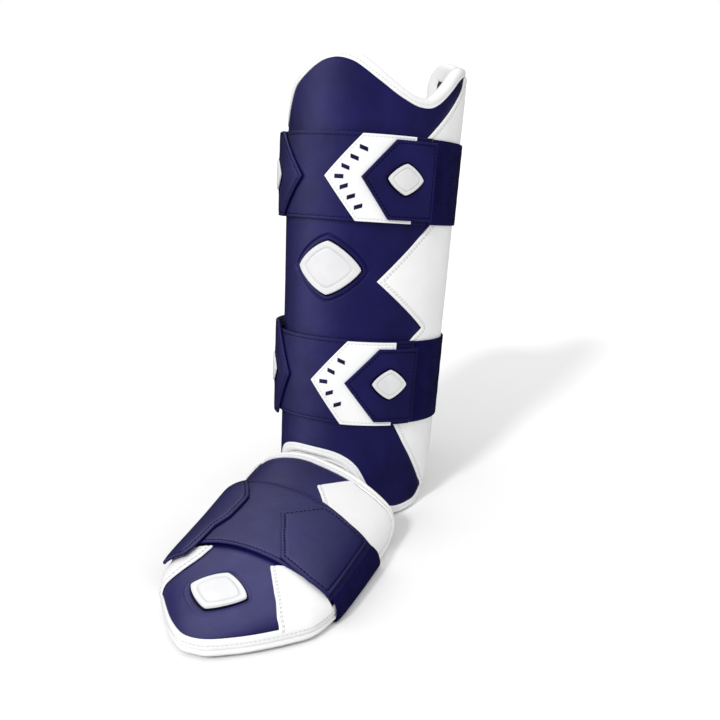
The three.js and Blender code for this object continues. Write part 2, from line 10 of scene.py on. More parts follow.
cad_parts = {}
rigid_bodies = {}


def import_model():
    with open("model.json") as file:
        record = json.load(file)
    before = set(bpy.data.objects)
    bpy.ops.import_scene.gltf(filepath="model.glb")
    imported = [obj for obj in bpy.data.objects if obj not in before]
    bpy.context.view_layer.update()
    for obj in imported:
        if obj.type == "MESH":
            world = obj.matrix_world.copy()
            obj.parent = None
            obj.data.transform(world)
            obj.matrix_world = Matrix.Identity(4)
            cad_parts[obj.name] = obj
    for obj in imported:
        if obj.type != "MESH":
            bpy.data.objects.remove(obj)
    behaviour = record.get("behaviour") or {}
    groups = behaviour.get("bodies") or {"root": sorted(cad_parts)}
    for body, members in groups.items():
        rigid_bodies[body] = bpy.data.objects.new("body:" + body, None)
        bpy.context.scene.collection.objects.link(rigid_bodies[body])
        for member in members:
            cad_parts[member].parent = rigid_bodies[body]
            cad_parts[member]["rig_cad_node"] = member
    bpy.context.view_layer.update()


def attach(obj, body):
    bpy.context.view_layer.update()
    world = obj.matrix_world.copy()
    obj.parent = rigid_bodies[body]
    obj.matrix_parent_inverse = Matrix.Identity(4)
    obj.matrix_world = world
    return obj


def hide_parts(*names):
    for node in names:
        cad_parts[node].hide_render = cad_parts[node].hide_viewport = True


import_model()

SHIFT = np.array([2.71542, 61.91470, 0.04446])

# ------------------------------------------------------------------ tables


def table(rows, smooth=False):
    k = np.array([r[0] for r in rows], float)
    v = np.array([r[1] for r in rows], float)
    s = np.diff(v) / np.diff(k)
    m = np.empty_like(v)
    m[0], m[-1] = s[0], s[-1]
    a, b = s[:-1], s[1:]
    prod = a * b
    with np.errstate(divide="ignore", invalid="ignore"):
        m[1:-1] = np.where(prod <= 0, 0.0, 2 * prod / np.where(a + b == 0, 1, a + b))

    def f(x):
        x = np.clip(np.asarray(x, float), k[0], k[-1])
        i = np.clip(np.searchsorted(k, x, side="right") - 1, 0, len(k) - 2)
        h = k[i + 1] - k[i]
        t = (x - k[i]) / h
        if not smooth:
            return v[i] + (v[i + 1] - v[i]) * t
        t2, t3 = t * t, t * t * t
        return ((2 * t3 - 3 * t2 + 1) * v[i] + (t3 - 2 * t2 + t) * h * m[i]
                + (3 * t2 - 2 * t3) * v[i + 1] + (t3 - t2) * h * m[i + 1])
    return f


SHELL_T = 9.0
INNER, OUTER = -124.0, 156.0
BASE = np.array([-1.0, 12.0, 0.0])
LEAN = np.array([-0.0021, 0.1797, 1.0]); LEAN /= np.linalg.norm(LEAN)
SIDE = np.array([1.0, 0.0, 0.0]) - LEAN[0] * LEAN; SIDE /= np.linalg.norm(SIDE)
REAR = np.cross(LEAN, SIDE)
FOOT_EDGE, TIP = 11.5, 287.0

SHIN_TOP = table([
    [-124, 326], [-112, 335], [-100, 338], [-86, 338], [-72, 333], [-61, 333], [-49.2, 348], [-39.7, 363], [-27.7, 372.7],
    [-16.4, 381.2], [-8.1, 385.8], [-0.7, 386.9], [8.3, 384.8], [17.9, 377.6], [27.5, 369], [37.4, 360.4], [45.6, 354.9],
    [53.3, 351.7], [60.4, 351.6], [68, 356.6], [79.7, 369], [89.6, 380], [98, 385], [110, 387], [125, 390], [138, 395],
    [147, 397], [152, 394], [156, 386]], True)
SHIN_BOTTOM = table([
    [-124, 84], [-112, 60], [-104, 43], [-98, 24], [-92, 9.8], [-85, 6.5], [-77, 4.95], [-70, 3.4], [-64, 3.1], [-58, 9], [-54, 23],
    [-49.7, 42], [-38.2, 50.5], [-21.8, 54], [-9.9, 54], [5.1, 52.5], [16.5, 48.1], [24.1, 41.4], [29.8, 31.5], [35, 20],
    [42, 10], [50, 3.9], [57, 1.8], [65, 2.4], [72, 3.9], [78.2, 4.95], [82, 7], [87, 12], [94, 23], [102, 40.5], [112, 60], [124, 80],
    [140, 104], [156, 124]], True)
# outer white panel: height, front limit angle
ZIG_OUTER = table([
    [15, 87.4], [20, 86], [23, 83], [34, 76], [60, 60.4], [80.8, 49.5], [122, 36], [157.2, 62], [164, 69], [204, 31.5],
    [242.5, 59.3], [254.5, 68.6], [268, 78], [313, 50], [332, 64], [351, 78.5], [374, 95.5], [383.6, 98], [386, 106],
    [389, 122], [393, 134], [396, 144]])
ZIG_OUTER_REAR = table([
    [15, 88.6], [20, 91.4], [26, 94.6], [41, 101.8], [60, 111.8], [80, 123.8], [104, 139.8], [122, 154.6], [128, 155.6],
    [380, 155.6], [386, 155.2], [393, 152], [396, 148.6]])
ZIG_INNER = table([[39, -98], [60, -86], [122, -72], [166, -88], [206, -72], [268, -90], [313, -74], [330, -80], [337, -92]])
ZIG_INNER_REAR = table([[39, -100.5], [60, -111.8], [84, -123.5], [322, -123.5], [330, -118], [335, -112], [337, -104]])

FOOT_HALF = table([[30, 69], [57, 71], [100, 72], [160, 70.5], [200, 69.5], [218, 68], [238, 62], [248, 53.5], [258, 44.5],
                   [271, 31.5], [280, 20], [287, 9]], True)
FOOT_CROWN = table([[30, 61], [57, 58.5], [100, 53], [150, 47], [200, 40], [232, 32.5], [250, 27.5], [264, 23], [277, 18.5],
                    [287, 15]], True)
FOOT_MID = table([[30, -1], [57, -0.5], [100, 1.5], [160, 5], [200, 6], [218, 6], [240, 7], [258, 5.5], [271, 3.5], [287, 0]], True)
FOOT_BACK = table([
    [-1, 68], [-0.9, 60], [-0.8, 57], [-0.605, 55], [-0.325, 58.7], [-0.16, 60.3], [-0.044, 63.2], [0.033, 67.9],
    [0.148, 72.2], [0.261, 75.5], [0.4, 79], [0.579, 80.1], [0.827, 76.6], [0.93, 79], [1, 90]], True)
BAND_REAR = table([[-1, 96], [-0.6, 104], [-0.33, 108], [-0.182, 110.2], [-0.081, 112], [0.007, 115], [0.091, 118.6], [0.175, 122.5],
                   [0.324, 129.2], [0.488, 134], [0.701, 135.4], [0.911, 130.1], [1, 124]], True)
BAND_FRONT = table([[-1, 203], [-0.7, 205.5], [-0.46, 203.5], [-0.287, 201], [-0.144, 200.5], [-0.041, 201.3], [0.045, 203.9],
                    [0.102, 205.4], [0.171, 207.3], [0.3, 210], [0.448, 212.3], [0.709, 214.4], [0.842, 215], [1, 211.3]], True)

# ------------------------------------------------------------------ surfaces


def row(p):
    return (p + SHIFT) * 0.001


def shin(angle, w, out):
    angle, w, out = np.broadcast_arrays(np.asarray(angle, float), np.asarray(w, float), np.asarray(out, float))
    a = np.radians(angle)
    hx, hy = 66.6 + 9.5 * w / 390, 72.7 + 20.2 * w / 390
    return row(BASE + w[..., None] * LEAN + ((hx + out) * np.sin(a))[..., None] * SIDE
               - ((hy + out) * np.cos(a))[..., None] * REAR)


def foot(u, t, out):
    u, t, out = np.broadcast_arrays(np.asarray(u, float), np.asarray(t, float), np.asarray(out, float))
    a = u * np.pi / 2
    X = np.sign(u) * np.abs(np.sin(a)) ** 0.8
    Z = np.maximum(np.cos(a), 0) ** 0.8
    x = np.maximum(FOOT_HALF(t) + out, 2.5) * X
    rise = np.maximum(FOOT_CROWN(t) + out - FOOT_EDGE, 0.6)
    return row(np.stack([FOOT_MID(t) + x, -t, FOOT_EDGE + rise * Z - 0.05 * x * Z * np.minimum(1, rise / 20)], -1))


def foot_at(x, t, out):
    """Point on the foot guard at sideways distance x from its middle line."""
    X = np.asarray(x, float) / FOOT_HALF(t)
    return foot(np.sign(X) * np.arcsin(np.minimum(1, np.abs(X)) ** 1.25) * 2 / np.pi, t, out)


def unit(v):
    return v / np.maximum(np.linalg.norm(v, axis=-1, keepdims=True), 1e-12)


def ripple(P, scale, seed):
    """Smooth unevenness, about -1 to 1; scale in waves per metre."""
    rng = np.random.default_rng(seed)
    v = np.zeros(P.shape[:-1])
    for _ in range(7):
        d = unit(rng.normal(size=3))
        v += np.sin(P @ d * scale * rng.uniform(0.6, 1.6) * 2 * np.pi + rng.uniform(0, 6.28))
    return v / 7 ** 0.5


# ------------------------------------------------------------------ mesh helpers


def spans(total, step, edge=(0, 0.15, 0.4, 0.8, 1.3, 1.9, 2.4, 2.9, 3.4, 4.0, 4.8, 6.0), both=True):
    """Positions from 0 to 1 over total millimetres, fine near the ends."""
    e = np.array(edge, float)
    e = e[e < total * 0.42]
    mid = np.linspace(e[-1], total - (e[-1] if both else 0), max(3, int(round((total - 2 * e[-1]) / step)) | 1))
    out = np.concatenate([e[:-1], mid, (total - e[:-1])[::-1] if both else []])
    return out / total


def add_mesh(name, verts, faces, mats, mat_index=None, uv=None, smooth=True):
    me = bpy.data.meshes.new(name)
    verts = np.asarray(verts, float).reshape(-1, 3)
    faces = np.asarray(faces, int)
    nf, k = faces.shape
    me.vertices.add(len(verts))
    me.vertices.foreach_set("co", verts.ravel())
    me.loops.add(nf * k)
    me.loops.foreach_set("vertex_index", faces.ravel())
    me.polygons.add(nf)
    me.polygons.foreach_set("loop_start", np.arange(nf) * k)
    me.polygons.foreach_set("loop_total", np.full(nf, k))
    if mat_index is not None:
        me.polygons.foreach_set("material_index", np.asarray(mat_index, int))
    me.polygons.foreach_set("use_smooth", np.full(nf, smooth))
    for m in mats:
        me.materials.append(m)
    if uv is not None:
        layer = me.uv_layers.new(name="UVMap")
        layer.data.foreach_set("uv", np.asarray(uv, float)[faces.ravel()].ravel())
    me.update()
    me.validate()
    ob = bpy.data.objects.new(name, me)
    bpy.context.scene.collection.objects.link(ob)
    return ob


def edge_line(P, which="all", step=0.0003):
    """Dense points along the chosen edges of a grid of points."""
    parts = []
    if which in ("all", "i0", "i"): parts.append(P[0])
    if which in ("all", "i1", "i"): parts.append(P[-1])
    if which in ("all", "j0", "j"): parts.append(P[:, 0])
    if which in ("all", "j1", "j"): parts.append(P[:, -1])
    dense = []
    for line in parts:
        d = np.linalg.norm(np.diff(line, axis=0), axis=1)
        for a, b, l in zip(line[:-1], line[1:], d):
            n = max(1, int(l / step))
            dense.append(a + (b - a) * (np.arange(n) / n)[:, None])
        dense.append(line[-1:])
    return np.concatenate(dense)


def distance(P, line):
    """Millimetres from each grid point to the nearest point of a line."""
    tree = KDTree(len(line))
    for i, p in enumerate(line):
        tree.insert(p, i)
    tree.balance()
    flat = P.reshape(-1, 3)
    return np.array([tree.find(p)[2] for p in flat]).reshape(P.shape[:-1]) * 1000


def normals(P):
    a = np.gradient(P, axis=0)
    b = np.gradient(P, axis=1)
    return unit(np.cross(a, b))


class Sheet:
    """A grid piece: A, B are the surface coordinates of its nodes."""

    def __init__(self, surface, A, B):
        self.surface, self.A, self.B = surface, A, B
        self.mid = surface(A, B, 0.0)
        n = normals(self.mid)
        away = surface(A, B, 1.0) - self.mid
        self.flip = np.mean(np.sum(n * away, -1)) < 0

    def dist(self, which="all"):
        return distance(self.mid, edge_line(self.mid, which))

    def set(self, top, bot):
        self.top = self.surface(self.A, self.B, top)
        self.bot = self.surface(self.A, self.B, bot)
        self.N = normals(self.top) * (-1 if self.flip else 1)
        return self

    def build(self, name, mat, inner=None):
        ni, nj = self.A.shape
        idx = np.arange(ni * nj).reshape(ni, nj)
        quad = np.stack([idx[:-1, :-1], idx[1:, :-1], idx[1:, 1:], idx[:-1, 1:]], -1).reshape(-1, 4)
        low = quad[:, ::-1] + ni * nj
        ring = np.concatenate([idx[:-1, 0], idx[-1, :-1], idx[::-1, -1][:-1], idx[0, ::-1][:-1]])
        nxt = np.roll(ring, -1)
        wall = np.stack([nxt, ring, ring + ni * nj, nxt + ni * nj], -1)
        faces = np.concatenate([quad, low, wall])
        mi = np.concatenate([np.zeros(len(quad)), np.full(len(low), 1 if inner else 0), np.zeros(len(wall))])
        if self.flip:
            faces = faces[:, ::-1]
        # coordinates in centimetres along the cloth, for weave and grain
        du = np.concatenate([np.zeros((1, nj)), np.cumsum(np.linalg.norm(np.diff(self.mid, axis=0), axis=-1), 0)])
        dv = np.concatenate([np.zeros((ni, 1)), np.cumsum(np.linalg.norm(np.diff(self.mid, axis=1), axis=-1), 1)], 1)
        uv = np.stack([du * 100, dv * 100], -1).reshape(-1, 2)
        ob = add_mesh(name, np.concatenate([self.top.reshape(-1, 3), self.bot.reshape(-1, 3)]), faces,
                      [mat] + ([inner] if inner else []), mi, np.concatenate([uv, uv]))
        return ob


def rounding(d, r):
    x = np.clip(d / r, 0, 1)
    return np.sqrt(np.clip(1 - (1 - x) ** 2, 0, 1))


def thick(d, lo, hi, r=None, puff=0.0, seam=None, depth=0.25, keep=0.12):
    """Top and bottom of a sheet of cloth with a rounded edge, a soft crown and a sewn groove at distance seam."""
    t = (hi - lo) / 2
    f = keep + (1 - keep) * rounding(d, r or t)
    top = (lo + t) + t * f + puff * (1 - np.exp(-d / 7.0))
    bot = (lo + t) - t * f
    if seam is not None:
        top = top - depth * np.exp(-((d - seam) / 0.6) ** 2)
    return top, bot


def contours(P, N, D, level):
    """Chains of points and normals where the grid field D crosses level."""
    ni, nj = D.shape
    S = D - level
    S = np.where(S == 0, 1e-9, S)
    cut = {}

    def crossing(a, b):
        key = (a, b)
        if key not in cut:
            t = S[a] / (S[a] - S[b])
            cut[key] = (P[a] * (1 - t) + P[b] * t, N[a] * (1 - t) + N[b] * t)
        return key

    link = {}
    pos = S > 0
    mixed = ~((pos[:-1, :-1] == pos[1:, :-1]) & (pos[:-1, :-1] == pos[:-1, 1:]) & (pos[:-1, :-1] == pos[1:, 1:]))
    for i, j in zip(*np.nonzero(mixed)):
        i, j = int(i), int(j)
        c = [(i, j), (i + 1, j), (i + 1, j + 1), (i, j + 1)]
        e = []
        for q, r, o in ((c[0], c[1], 0), (c[1], c[2], 0), (c[3], c[2], 0), (c[0], c[3], 0)):
            if pos[q] != pos[r]:
                e.append(crossing(q, r))
        for q, r in zip(e[::2], e[1::2]):
            link.setdefault(q, []).append(r)
            link.setdefault(r, []).append(q)
    chains, seen = [], set()
    starts = [k for k in link if len(link[k]) == 1] + list(link)
    for s in starts:
        if s in seen:
            continue
        chain, cur = [s], s
        seen.add(s)
        while True:
            nxt = [k for k in link[cur] if k not in seen]
            if not nxt:
                break
            cur = nxt[0]
            seen.add(cur)
            chain.append(cur)
        closed = len(chain) > 3 and chain[0] in link[chain[-1]]
        if closed:
            chain.append(chain[0])
        if len(chain) > 3:
            chains.append((np.array([cut[k][0] for k in chain]), np.array([cut[k][1] for k in chain])))
    return chains


def thread(name, chains, mat, parent, length=2.2, pitch=3.5, radius=0.42, lift=0.10, skip=None):
    """Sewn stitches along chains of points: one rounded stitch every pitch millimetres."""
    rs = np.array([-0.5, -0.42, -0.22, 0.22, 0.42, 0.5]) * length
    rr = np.array([0.35, 0.85, 1.0, 1.0, 0.85, 0.35]) * radius
    rz = np.array([-0.55, -0.05, 0.18, 0.18, -0.05, -0.55]) * radius + lift
    sides = 6
    ang = np.arange(sides) / sides * 2 * np.pi
    V, F, U, base = [], [], [], 0
    for pts, nrm in chains:
        d = np.linalg.norm(np.diff(pts, axis=0), axis=1)
        s = np.concatenate([[0], np.cumsum(d)]) * 1000
        if s[-1] < pitch * 2:
            continue
        n = int(s[-1] / pitch)
        c = (np.arange(n) + 0.5) * (s[-1] / n)
        at = lambda q: np.stack([np.interp(q, s, pts[:, k]) for k in range(3)], -1)
        C, A0, A1 = at(c), at(c - length / 2), at(c + length / 2)
        T = unit(A1 - A0)
        Nn = unit(np.stack([np.interp(c, s, nrm[:, k]) for k in range(3)], -1))
        Bn = unit(np.cross(Nn, T))
        Nn = np.cross(T, Bn)
        # position[stitch, ring, side]
        off = (T[:, None, None] * rs[None, :, None, None]
               + Bn[:, None, None] * (rr[:, None] * np.cos(ang) * 1.15)[None, :, :, None]
               + Nn[:, None, None] * (rz[:, None] + rr[:, None] * np.sin(ang) * 0.8)[None, :, :, None])
        P = C[:, None, None] + off * 0.001
        if skip is not None:
            P = P[~skip(C)]
        k = len(P)
        V.append(P.reshape(-1, 3))
        uv = np.stack(np.broadcast_arrays(rs[:, None] * 0.1, ang[None] * 0.05), -1)
        U.append(np.tile(uv.reshape(-1, 2), (k, 1)))
        one = np.arange(len(rs) * sides).reshape(len(rs), sides)
        q = np.stack([one[:-1], np.roll(one, -1, 1)[:-1], np.roll(one, -1, 1)[1:], one[1:]], -1).reshape(-1, 4)
        caps = np.array([[0, 1, 2, 3], [0, 3, 4, 5]])
        q = np.concatenate([q, caps[:, ::-1], caps + (len(rs) - 1) * sides])
        for m in range(k):
            F.append(q + base + m * len(rs) * sides)
        base += k * len(rs) * sides
    if not V:
        return None
    ob = add_mesh(name, np.concatenate(V), np.concatenate(F)[:, ::-1], [mat], None, np.concatenate(U))
    ob.parent = parent
    return ob


def closed_spline(pts, times):
    p = np.asarray(pts, float)
    out = []
    n = len(p)
    for i in range(n):
        a, b, c, d = p[i - 1], p[i], p[(i + 1) % n], p[(i + 2) % n]
        for k in range(times):
            t = k / times
            out.append(0.5 * ((2 * b) + (c - a) * t + (2 * a - 5 * b + 4 * c - d) * t * t + (3 * b - a - 3 * c + d) * t ** 3))
    return np.array(out)


def smooth_loop(a, times, weight=0.5):
    for _ in range(times):
        a = a * (1 - weight) + weight * 0.5 * (np.roll(a, 1, 0) + np.roll(a, -1, 0))
    return a


def binding(name, E, M, N, centre, profile, mat, step=2.0, smooth=5, trim=None):
    """Folded tape swept round an edge. E edge points, M away from the pad, N out of its face, centre (m, n)."""
    C = E + (M * centre[0] + N * centre[1]) * 0.001
    # even spacing round the loop
    def even(line, others, step):
        closed = np.concatenate([line, line[:1]])
        s = np.concatenate([[0], np.cumsum(np.linalg.norm(np.diff(closed, axis=0), axis=1))])
        n = int(s[-1] * 1000 / step)
        q = np.arange(n) / n * s[-1]
        res = []
        for o in [line] + others:
            oc = np.concatenate([o, o[:1]])
            res.append(np.stack([np.interp(q, s, oc[:, k]) for k in range(3)], -1))
        return res
    cut = np.zeros((len(C), 3)) if trim is None else np.repeat(trim[:, None], 3, 1)
    C, M, N, cut = even(C, [M, N, cut], step)
    C, M, N, cut = smooth_loop(C, smooth), smooth_loop(M, smooth + 4), smooth_loop(N, smooth + 4), smooth_loop(cut, 12)
    C, M, N, cut = even(C, [M, N, cut], step)
    T = unit(np.roll(C, -1, 0) - np.roll(C, 1, 0))
    N = unit(N - T * np.sum(N * T, -1, keepdims=True))
    M2 = np.cross(N, T)
    M2 *= np.sign(np.sum(M2 * M, -1, keepdims=True))
    prof = closed_spline(profile, 2)
    # where trim is 1 the front flange stops short: a wide lip covers it there
    flange = np.clip((-prof[:, 0] - 2.3) / 1.0, 0, 1) * (prof[:, 1] > 3.0)
    s = np.arange(len(C)) * step
    wob = 1 + 0.012 * np.sin(s / 9.0) + 0.01 * np.sin(s / 3.7 + 1)
    pm = prof[None, :, :1] * wob[:, None, None] + 2.4 * cut[:, :1, None] * flange[None, :, None]
    V = C[:, None] + (M2[:, None] * pm + N[:, None] * prof[None, :, 1:]) * 0.001
    n, k = V.shape[:2]
    idx = np.arange(n * k).reshape(n, k)
    nx = np.roll(idx, -1, 0)
    F = np.stack([idx, np.roll(idx, -1, 1), np.roll(nx, -1, 1), nx], -1).reshape(-1, 4)
    uv = np.stack(np.broadcast_arrays(s[:, None] * 0.1, np.arange(k)[None] * 0.08), -1).reshape(-1, 2)
    # outward faces
    c0 = V[0].mean(0)
    fn = np.cross(V[0, 1] - V[0, 0], V[1, 0] - V[0, 0])
    if np.dot(fn, V[0, 0] - c0) > 0:
        F = F[:, ::-1]
    ob = add_mesh(name, V.reshape(-1, 3), F, [mat], None, uv)
    return ob, C, M2, N, cut[:, 0]


# ------------------------------------------------------------------ materials


TINT = (0.60, 0.58, 1.0, 1.0)


def material(name):
    m = bpy.data.materials.new(name)
    m.use_nodes = True
    nt = m.node_tree
    b = nt.nodes["Principled BSDF"]
    return m, nt, b


def node(nt, kind, **inputs):
    n = nt.nodes.new(kind)
    for k, v in inputs.items():
        n.inputs[k.replace("_", " ")].default_value = v
    return n


def coords(nt, kind="Object"):
    return nt.nodes.new("ShaderNodeTexCoord").outputs[kind]


def ramp(nt, fac, stops):
    r = nt.nodes.new("ShaderNodeValToRGB")
    el = r.color_ramp.elements
    el[0].position, el[0].color = stops[0][0], (*stops[0][1], 1)
    el[1].position, el[1].color = stops[-1][0], (*stops[-1][1], 1)
    for p, c in stops[1:-1]:
        e = el.new(p)
        e.color = (*c, 1)
    nt.links.new(fac, r.inputs["Fac"])
    return r.outputs["Color"]


def noise_tex(nt, vec, scale, detail=4.0, rough=0.55):
    n = nt.nodes.new("ShaderNodeTexNoise")
    n.inputs["Scale"].default_value = scale
    n.inputs["Detail"].default_value = detail
    n.inputs["Roughness"].default_value = rough
    nt.links.new(vec, n.inputs["Vector"])
    return n.outputs["Fac"]


def bump(nt, height, strength, distance, normal=None):
    b = nt.nodes.new("ShaderNodeBump")
    b.inputs["Strength"].default_value = strength
    b.inputs["Distance"].default_value = distance
    nt.links.new(height, b.inputs["Height"])
    if normal is not None:
        nt.links.new(normal, b.inputs["Normal"])
    return b.outputs["Normal"]


def math_node(nt, op, a, b=None):
    n = nt.nodes.new("ShaderNodeMath")
    n.operation = op
    for k, v in ((0, a), (1, b)):
        if v is None:
            continue
        if isinstance(v, (int, float)):
            n.inputs[k].default_value = v
        else:
            nt.links.new(v, n.inputs[k])
    return n.outputs[0]


def leather(name, dark, mid, light, rough=(0.42, 0.56), grain=0.20, crease=0.25, spec=0.45, tint=None):
    """Synthetic leather: mottled colour, fine pebble grain, soft creases."""
    m, nt, b = material(name)
    obj = coords(nt)
    big = noise_tex(nt, obj, 22, 5, 0.6)
    nt.links.new(ramp(nt, big, [(0.30, dark), (0.5, mid), (0.74, light)]), b.inputs["Base Color"])
    r = nt.nodes.new("ShaderNodeMapRange")
    r.inputs["To Min"].default_value, r.inputs["To Max"].default_value = rough
    nt.links.new(noise_tex(nt, obj, 60, 4), r.inputs["Value"])
    nt.links.new(r.outputs["Result"], b.inputs["Roughness"])
    b.inputs["Specular IOR Level"].default_value = spec
    if tint:
        b.inputs["Specular Tint"].default_value = tint
    cells = nt.nodes.new("ShaderNodeTexVoronoi")
    cells.inputs["Scale"].default_value = 1150
    nt.links.new(obj, cells.inputs["Vector"])
    n1 = bump(nt, cells.outputs["Distance"], grain, 0.0002)
    n2 = bump(nt, noise_tex(nt, obj, 420, 3), grain * 1.2, 0.0003, n1)
    n3 = bump(nt, noise_tex(nt, obj, 55, 5, 0.62), crease, 0.0012, n2)
    nt.links.new(n3, b.inputs["Normal"])
    return m


def webbing(name, dark, light, rough=0.75):
    """Woven elastic: fine ribs along the strap, rows across it."""
    m, nt, b = material(name)
    uv = coords(nt, "UV")
    sep = nt.nodes.new("ShaderNodeSeparateXYZ")
    nt.links.new(uv, sep.inputs[0])
    rib = math_node(nt, "SINE", math_node(nt, "MULTIPLY", sep.outputs["Y"], 2 * math.pi * 7.0))
    across = math_node(nt, "SINE", math_node(nt, "MULTIPLY", sep.outputs["X"], 2 * math.pi * 9.0))
    weave = math_node(nt, "MULTIPLY", rib, across)
    height = math_node(nt, "ADD", math_node(nt, "MULTIPLY", weave, 0.5), math_node(nt, "MULTIPLY", rib, 0.8))
    fac = math_node(nt, "ADD", math_node(nt, "MULTIPLY", height, 0.22),
                    noise_tex(nt, coords(nt), 90, 4))
    nt.links.new(ramp(nt, fac, [(0.25, dark), (0.8, light)]), b.inputs["Base Color"])
    b.inputs["Roughness"].default_value = rough
    b.inputs["Specular IOR Level"].default_value = 0.10
    b.inputs["Specular Tint"].default_value = TINT
    n1 = bump(nt, height, 0.45, 0.0003)
    nt.links.new(bump(nt, noise_tex(nt, coords(nt), 40, 3), 0.15, 0.001, n1), b.inputs["Normal"])
    return m


def knit(name, dark, light, scale=0.6):
    m, nt, b = material(name)
    obj = coords(nt)
    v = nt.nodes.new("ShaderNodeTexVoronoi")
    v.inputs["Scale"].default_value = 620
    nt.links.new(obj, v.inputs["Vector"])
    nt.links.new(ramp(nt, v.outputs["Distance"], [(0.1, light), (0.6, dark)]), b.inputs["Base Color"])
    b.inputs["Roughness"].default_value = 0.9
    b.inputs["Specular IOR Level"].default_value = 0.2
    b.inputs["Sheen Weight"].default_value = 0.2
    n1 = bump(nt, v.outputs["Distance"], 0.5, 0.0005)
    nt.links.new(bump(nt, noise_tex(nt, obj, 60, 4), 0.3, 0.0015, n1), b.inputs["Normal"])
    return m


def rubber(name):
    m, nt, b = material(name)
    obj = coords(nt)
    nt.links.new(ramp(nt, noise_tex(nt, obj, 70, 4), [(0.3, (0.60, 0.60, 0.61)), (0.7, (0.65, 0.65, 0.655))]), b.inputs["Base Color"])
    r = nt.nodes.new("ShaderNodeMapRange")
    r.inputs["To Min"].default_value, r.inputs["To Max"].default_value = 0.36, 0.5
    nt.links.new(noise_tex(nt, obj, 160, 3), r.inputs["Value"])
    nt.links.new(r.outputs["Result"], b.inputs["Roughness"])
    b.inputs["Specular IOR Level"].default_value = 0.4
    nt.links.new(bump(nt, noise_tex(nt, obj, 900, 2), 0.08, 0.0002), b.inputs["Normal"])
    return m


def yarn(name, dark, light, spec=0.4):
    m, nt, b = material(name)
    uv = coords(nt, "UV")
    w = nt.nodes.new("ShaderNodeTexWave")
    w.inputs["Scale"].default_value = 12
    w.inputs["Distortion"].default_value = 1.2
    nt.links.new(uv, w.inputs["Vector"])
    nt.links.new(ramp(nt, w.outputs["Fac"], [(0.2, dark), (0.8, light)]), b.inputs["Base Color"])
    b.inputs["Roughness"].default_value = 0.7
    b.inputs["Specular IOR Level"].default_value = spec
    nt.links.new(bump(nt, w.outputs["Fac"], 0.5, 0.0002), b.inputs["Normal"])
    return m


NAVY = leather("navy leather", (0.0038, 0.0027, 0.052), (0.0056, 0.0041, 0.068), (0.0082, 0.0062, 0.090), rough=(0.48, 0.62), crease=0.42, spec=0.42, tint=TINT)
NAVY_BAND = leather("navy band leather", (0.0036, 0.0025, 0.049), (0.0052, 0.0038, 0.064), (0.0078, 0.0058, 0.086), rough=(0.50, 0.64), crease=0.48, spec=0.42, tint=TINT)
NAVY_TAB = leather("navy tab leather", (0.0038, 0.0027, 0.051), (0.0054, 0.0039, 0.066), (0.0078, 0.0058, 0.086), rough=(0.48, 0.62), crease=0.36, spec=0.42, tint=TINT)
# very dark navy: painted shade in the recess round each badge
BADGE_RING_SHADE = leather("painted shade round badges", (0.0010, 0.0008, 0.009), (0.0013, 0.0010, 0.012), (0.0017, 0.0013, 0.015), rough=(0.5, 0.6), grain=0.04, crease=0.05, spec=0.1, tint=TINT)
WHITE = leather("white leather", (0.745, 0.745, 0.75), (0.775, 0.775, 0.777), (0.80, 0.80, 0.80), rough=(0.38, 0.52), grain=0.08, crease=0.16, spec=0.3)
TAPE = leather("white binding tape", (0.735, 0.735, 0.74), (0.77, 0.77, 0.775), (0.80, 0.80, 0.80), rough=(0.34, 0.48), grain=0.05, crease=0.22, spec=0.35)
ELASTIC = webbing("navy elastic", (0.0026, 0.0018, 0.036), (0.0058, 0.0042, 0.070))
LINING = knit("black lining", (0.004, 0.004, 0.005), (0.022, 0.022, 0.025))
# light grey: painted shade in the piping groove of the outer ankle panel
PIPING_GROOVE_SHADE = leather("painted piping groove shade", (0.30, 0.30, 0.31), (0.34, 0.34, 0.35), (0.38, 0.38, 0.385), rough=(0.7, 0.8), grain=0.04, crease=0.05, spec=0.1)
BADGE = rubber("moulded white rubber")
YARN_NAVY = yarn("navy thread", (0.0010, 0.0008, 0.007), (0.0022, 0.0018, 0.014), 0.08)
YARN_BAND = yarn("band thread", (0.0030, 0.0024, 0.028), (0.0050, 0.0040, 0.045), 0.1)
YARN_WHITE = yarn("white thread", (0.50, 0.50, 0.51), (0.68, 0.68, 0.69), 0.3)
PRINT = leather("navy print", (0.0034, 0.0026, 0.036), (0.0045, 0.0035, 0.043), (0.006, 0.005, 0.052), rough=(0.5, 0.6), crease=0.05, tint=TINT)
GUSSET = leather("white gusset cloth", (0.70, 0.70, 0.70), (0.75, 0.75, 0.75), (0.79, 0.79, 0.79), rough=(0.6, 0.75), grain=0.25, crease=0.35, spec=0.3)


def piece(ob, slot, *nodes):
    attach(ob, "root")
    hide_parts(*nodes)
    return ob


# ------------------------------------------------------------------ badges


def diamond(halfA, halfB, n):
    phi = np.arange(n) / n * 2 * np.pi
    r = 1 / ((np.abs(np.cos(phi)) / halfA) ** 1.3 + (np.abs(np.sin(phi)) / halfB) ** 1.3) ** (1 / 1.3)
    return np.stack([r * np.cos(phi), r * np.sin(phi)], -1)


def badge_distance(a, b, halfA, halfB, reach=9.0):
    """Signed millimetres from a badge's outline, positive outside."""
    out = diamond(halfA, halfB, 720)
    tree = KDTree(len(out))
    for i, p in enumerate(out):
        tree.insert((p[0], p[1], 0), i)
    tree.balance()
    d = np.full(a.shape, 99.0)
    near = (np.abs(a) < halfA + reach) & (np.abs(b) < halfB + reach)
    for k in zip(*np.nonzero(near)):
        v = tree.find((a[k], b[k], 0))[2]
        inside = (abs(a[k]) / halfA) ** 1.3 + (abs(b[k]) / halfB) ** 1.3 < 1
        d[k] = -v if inside else v
    return d


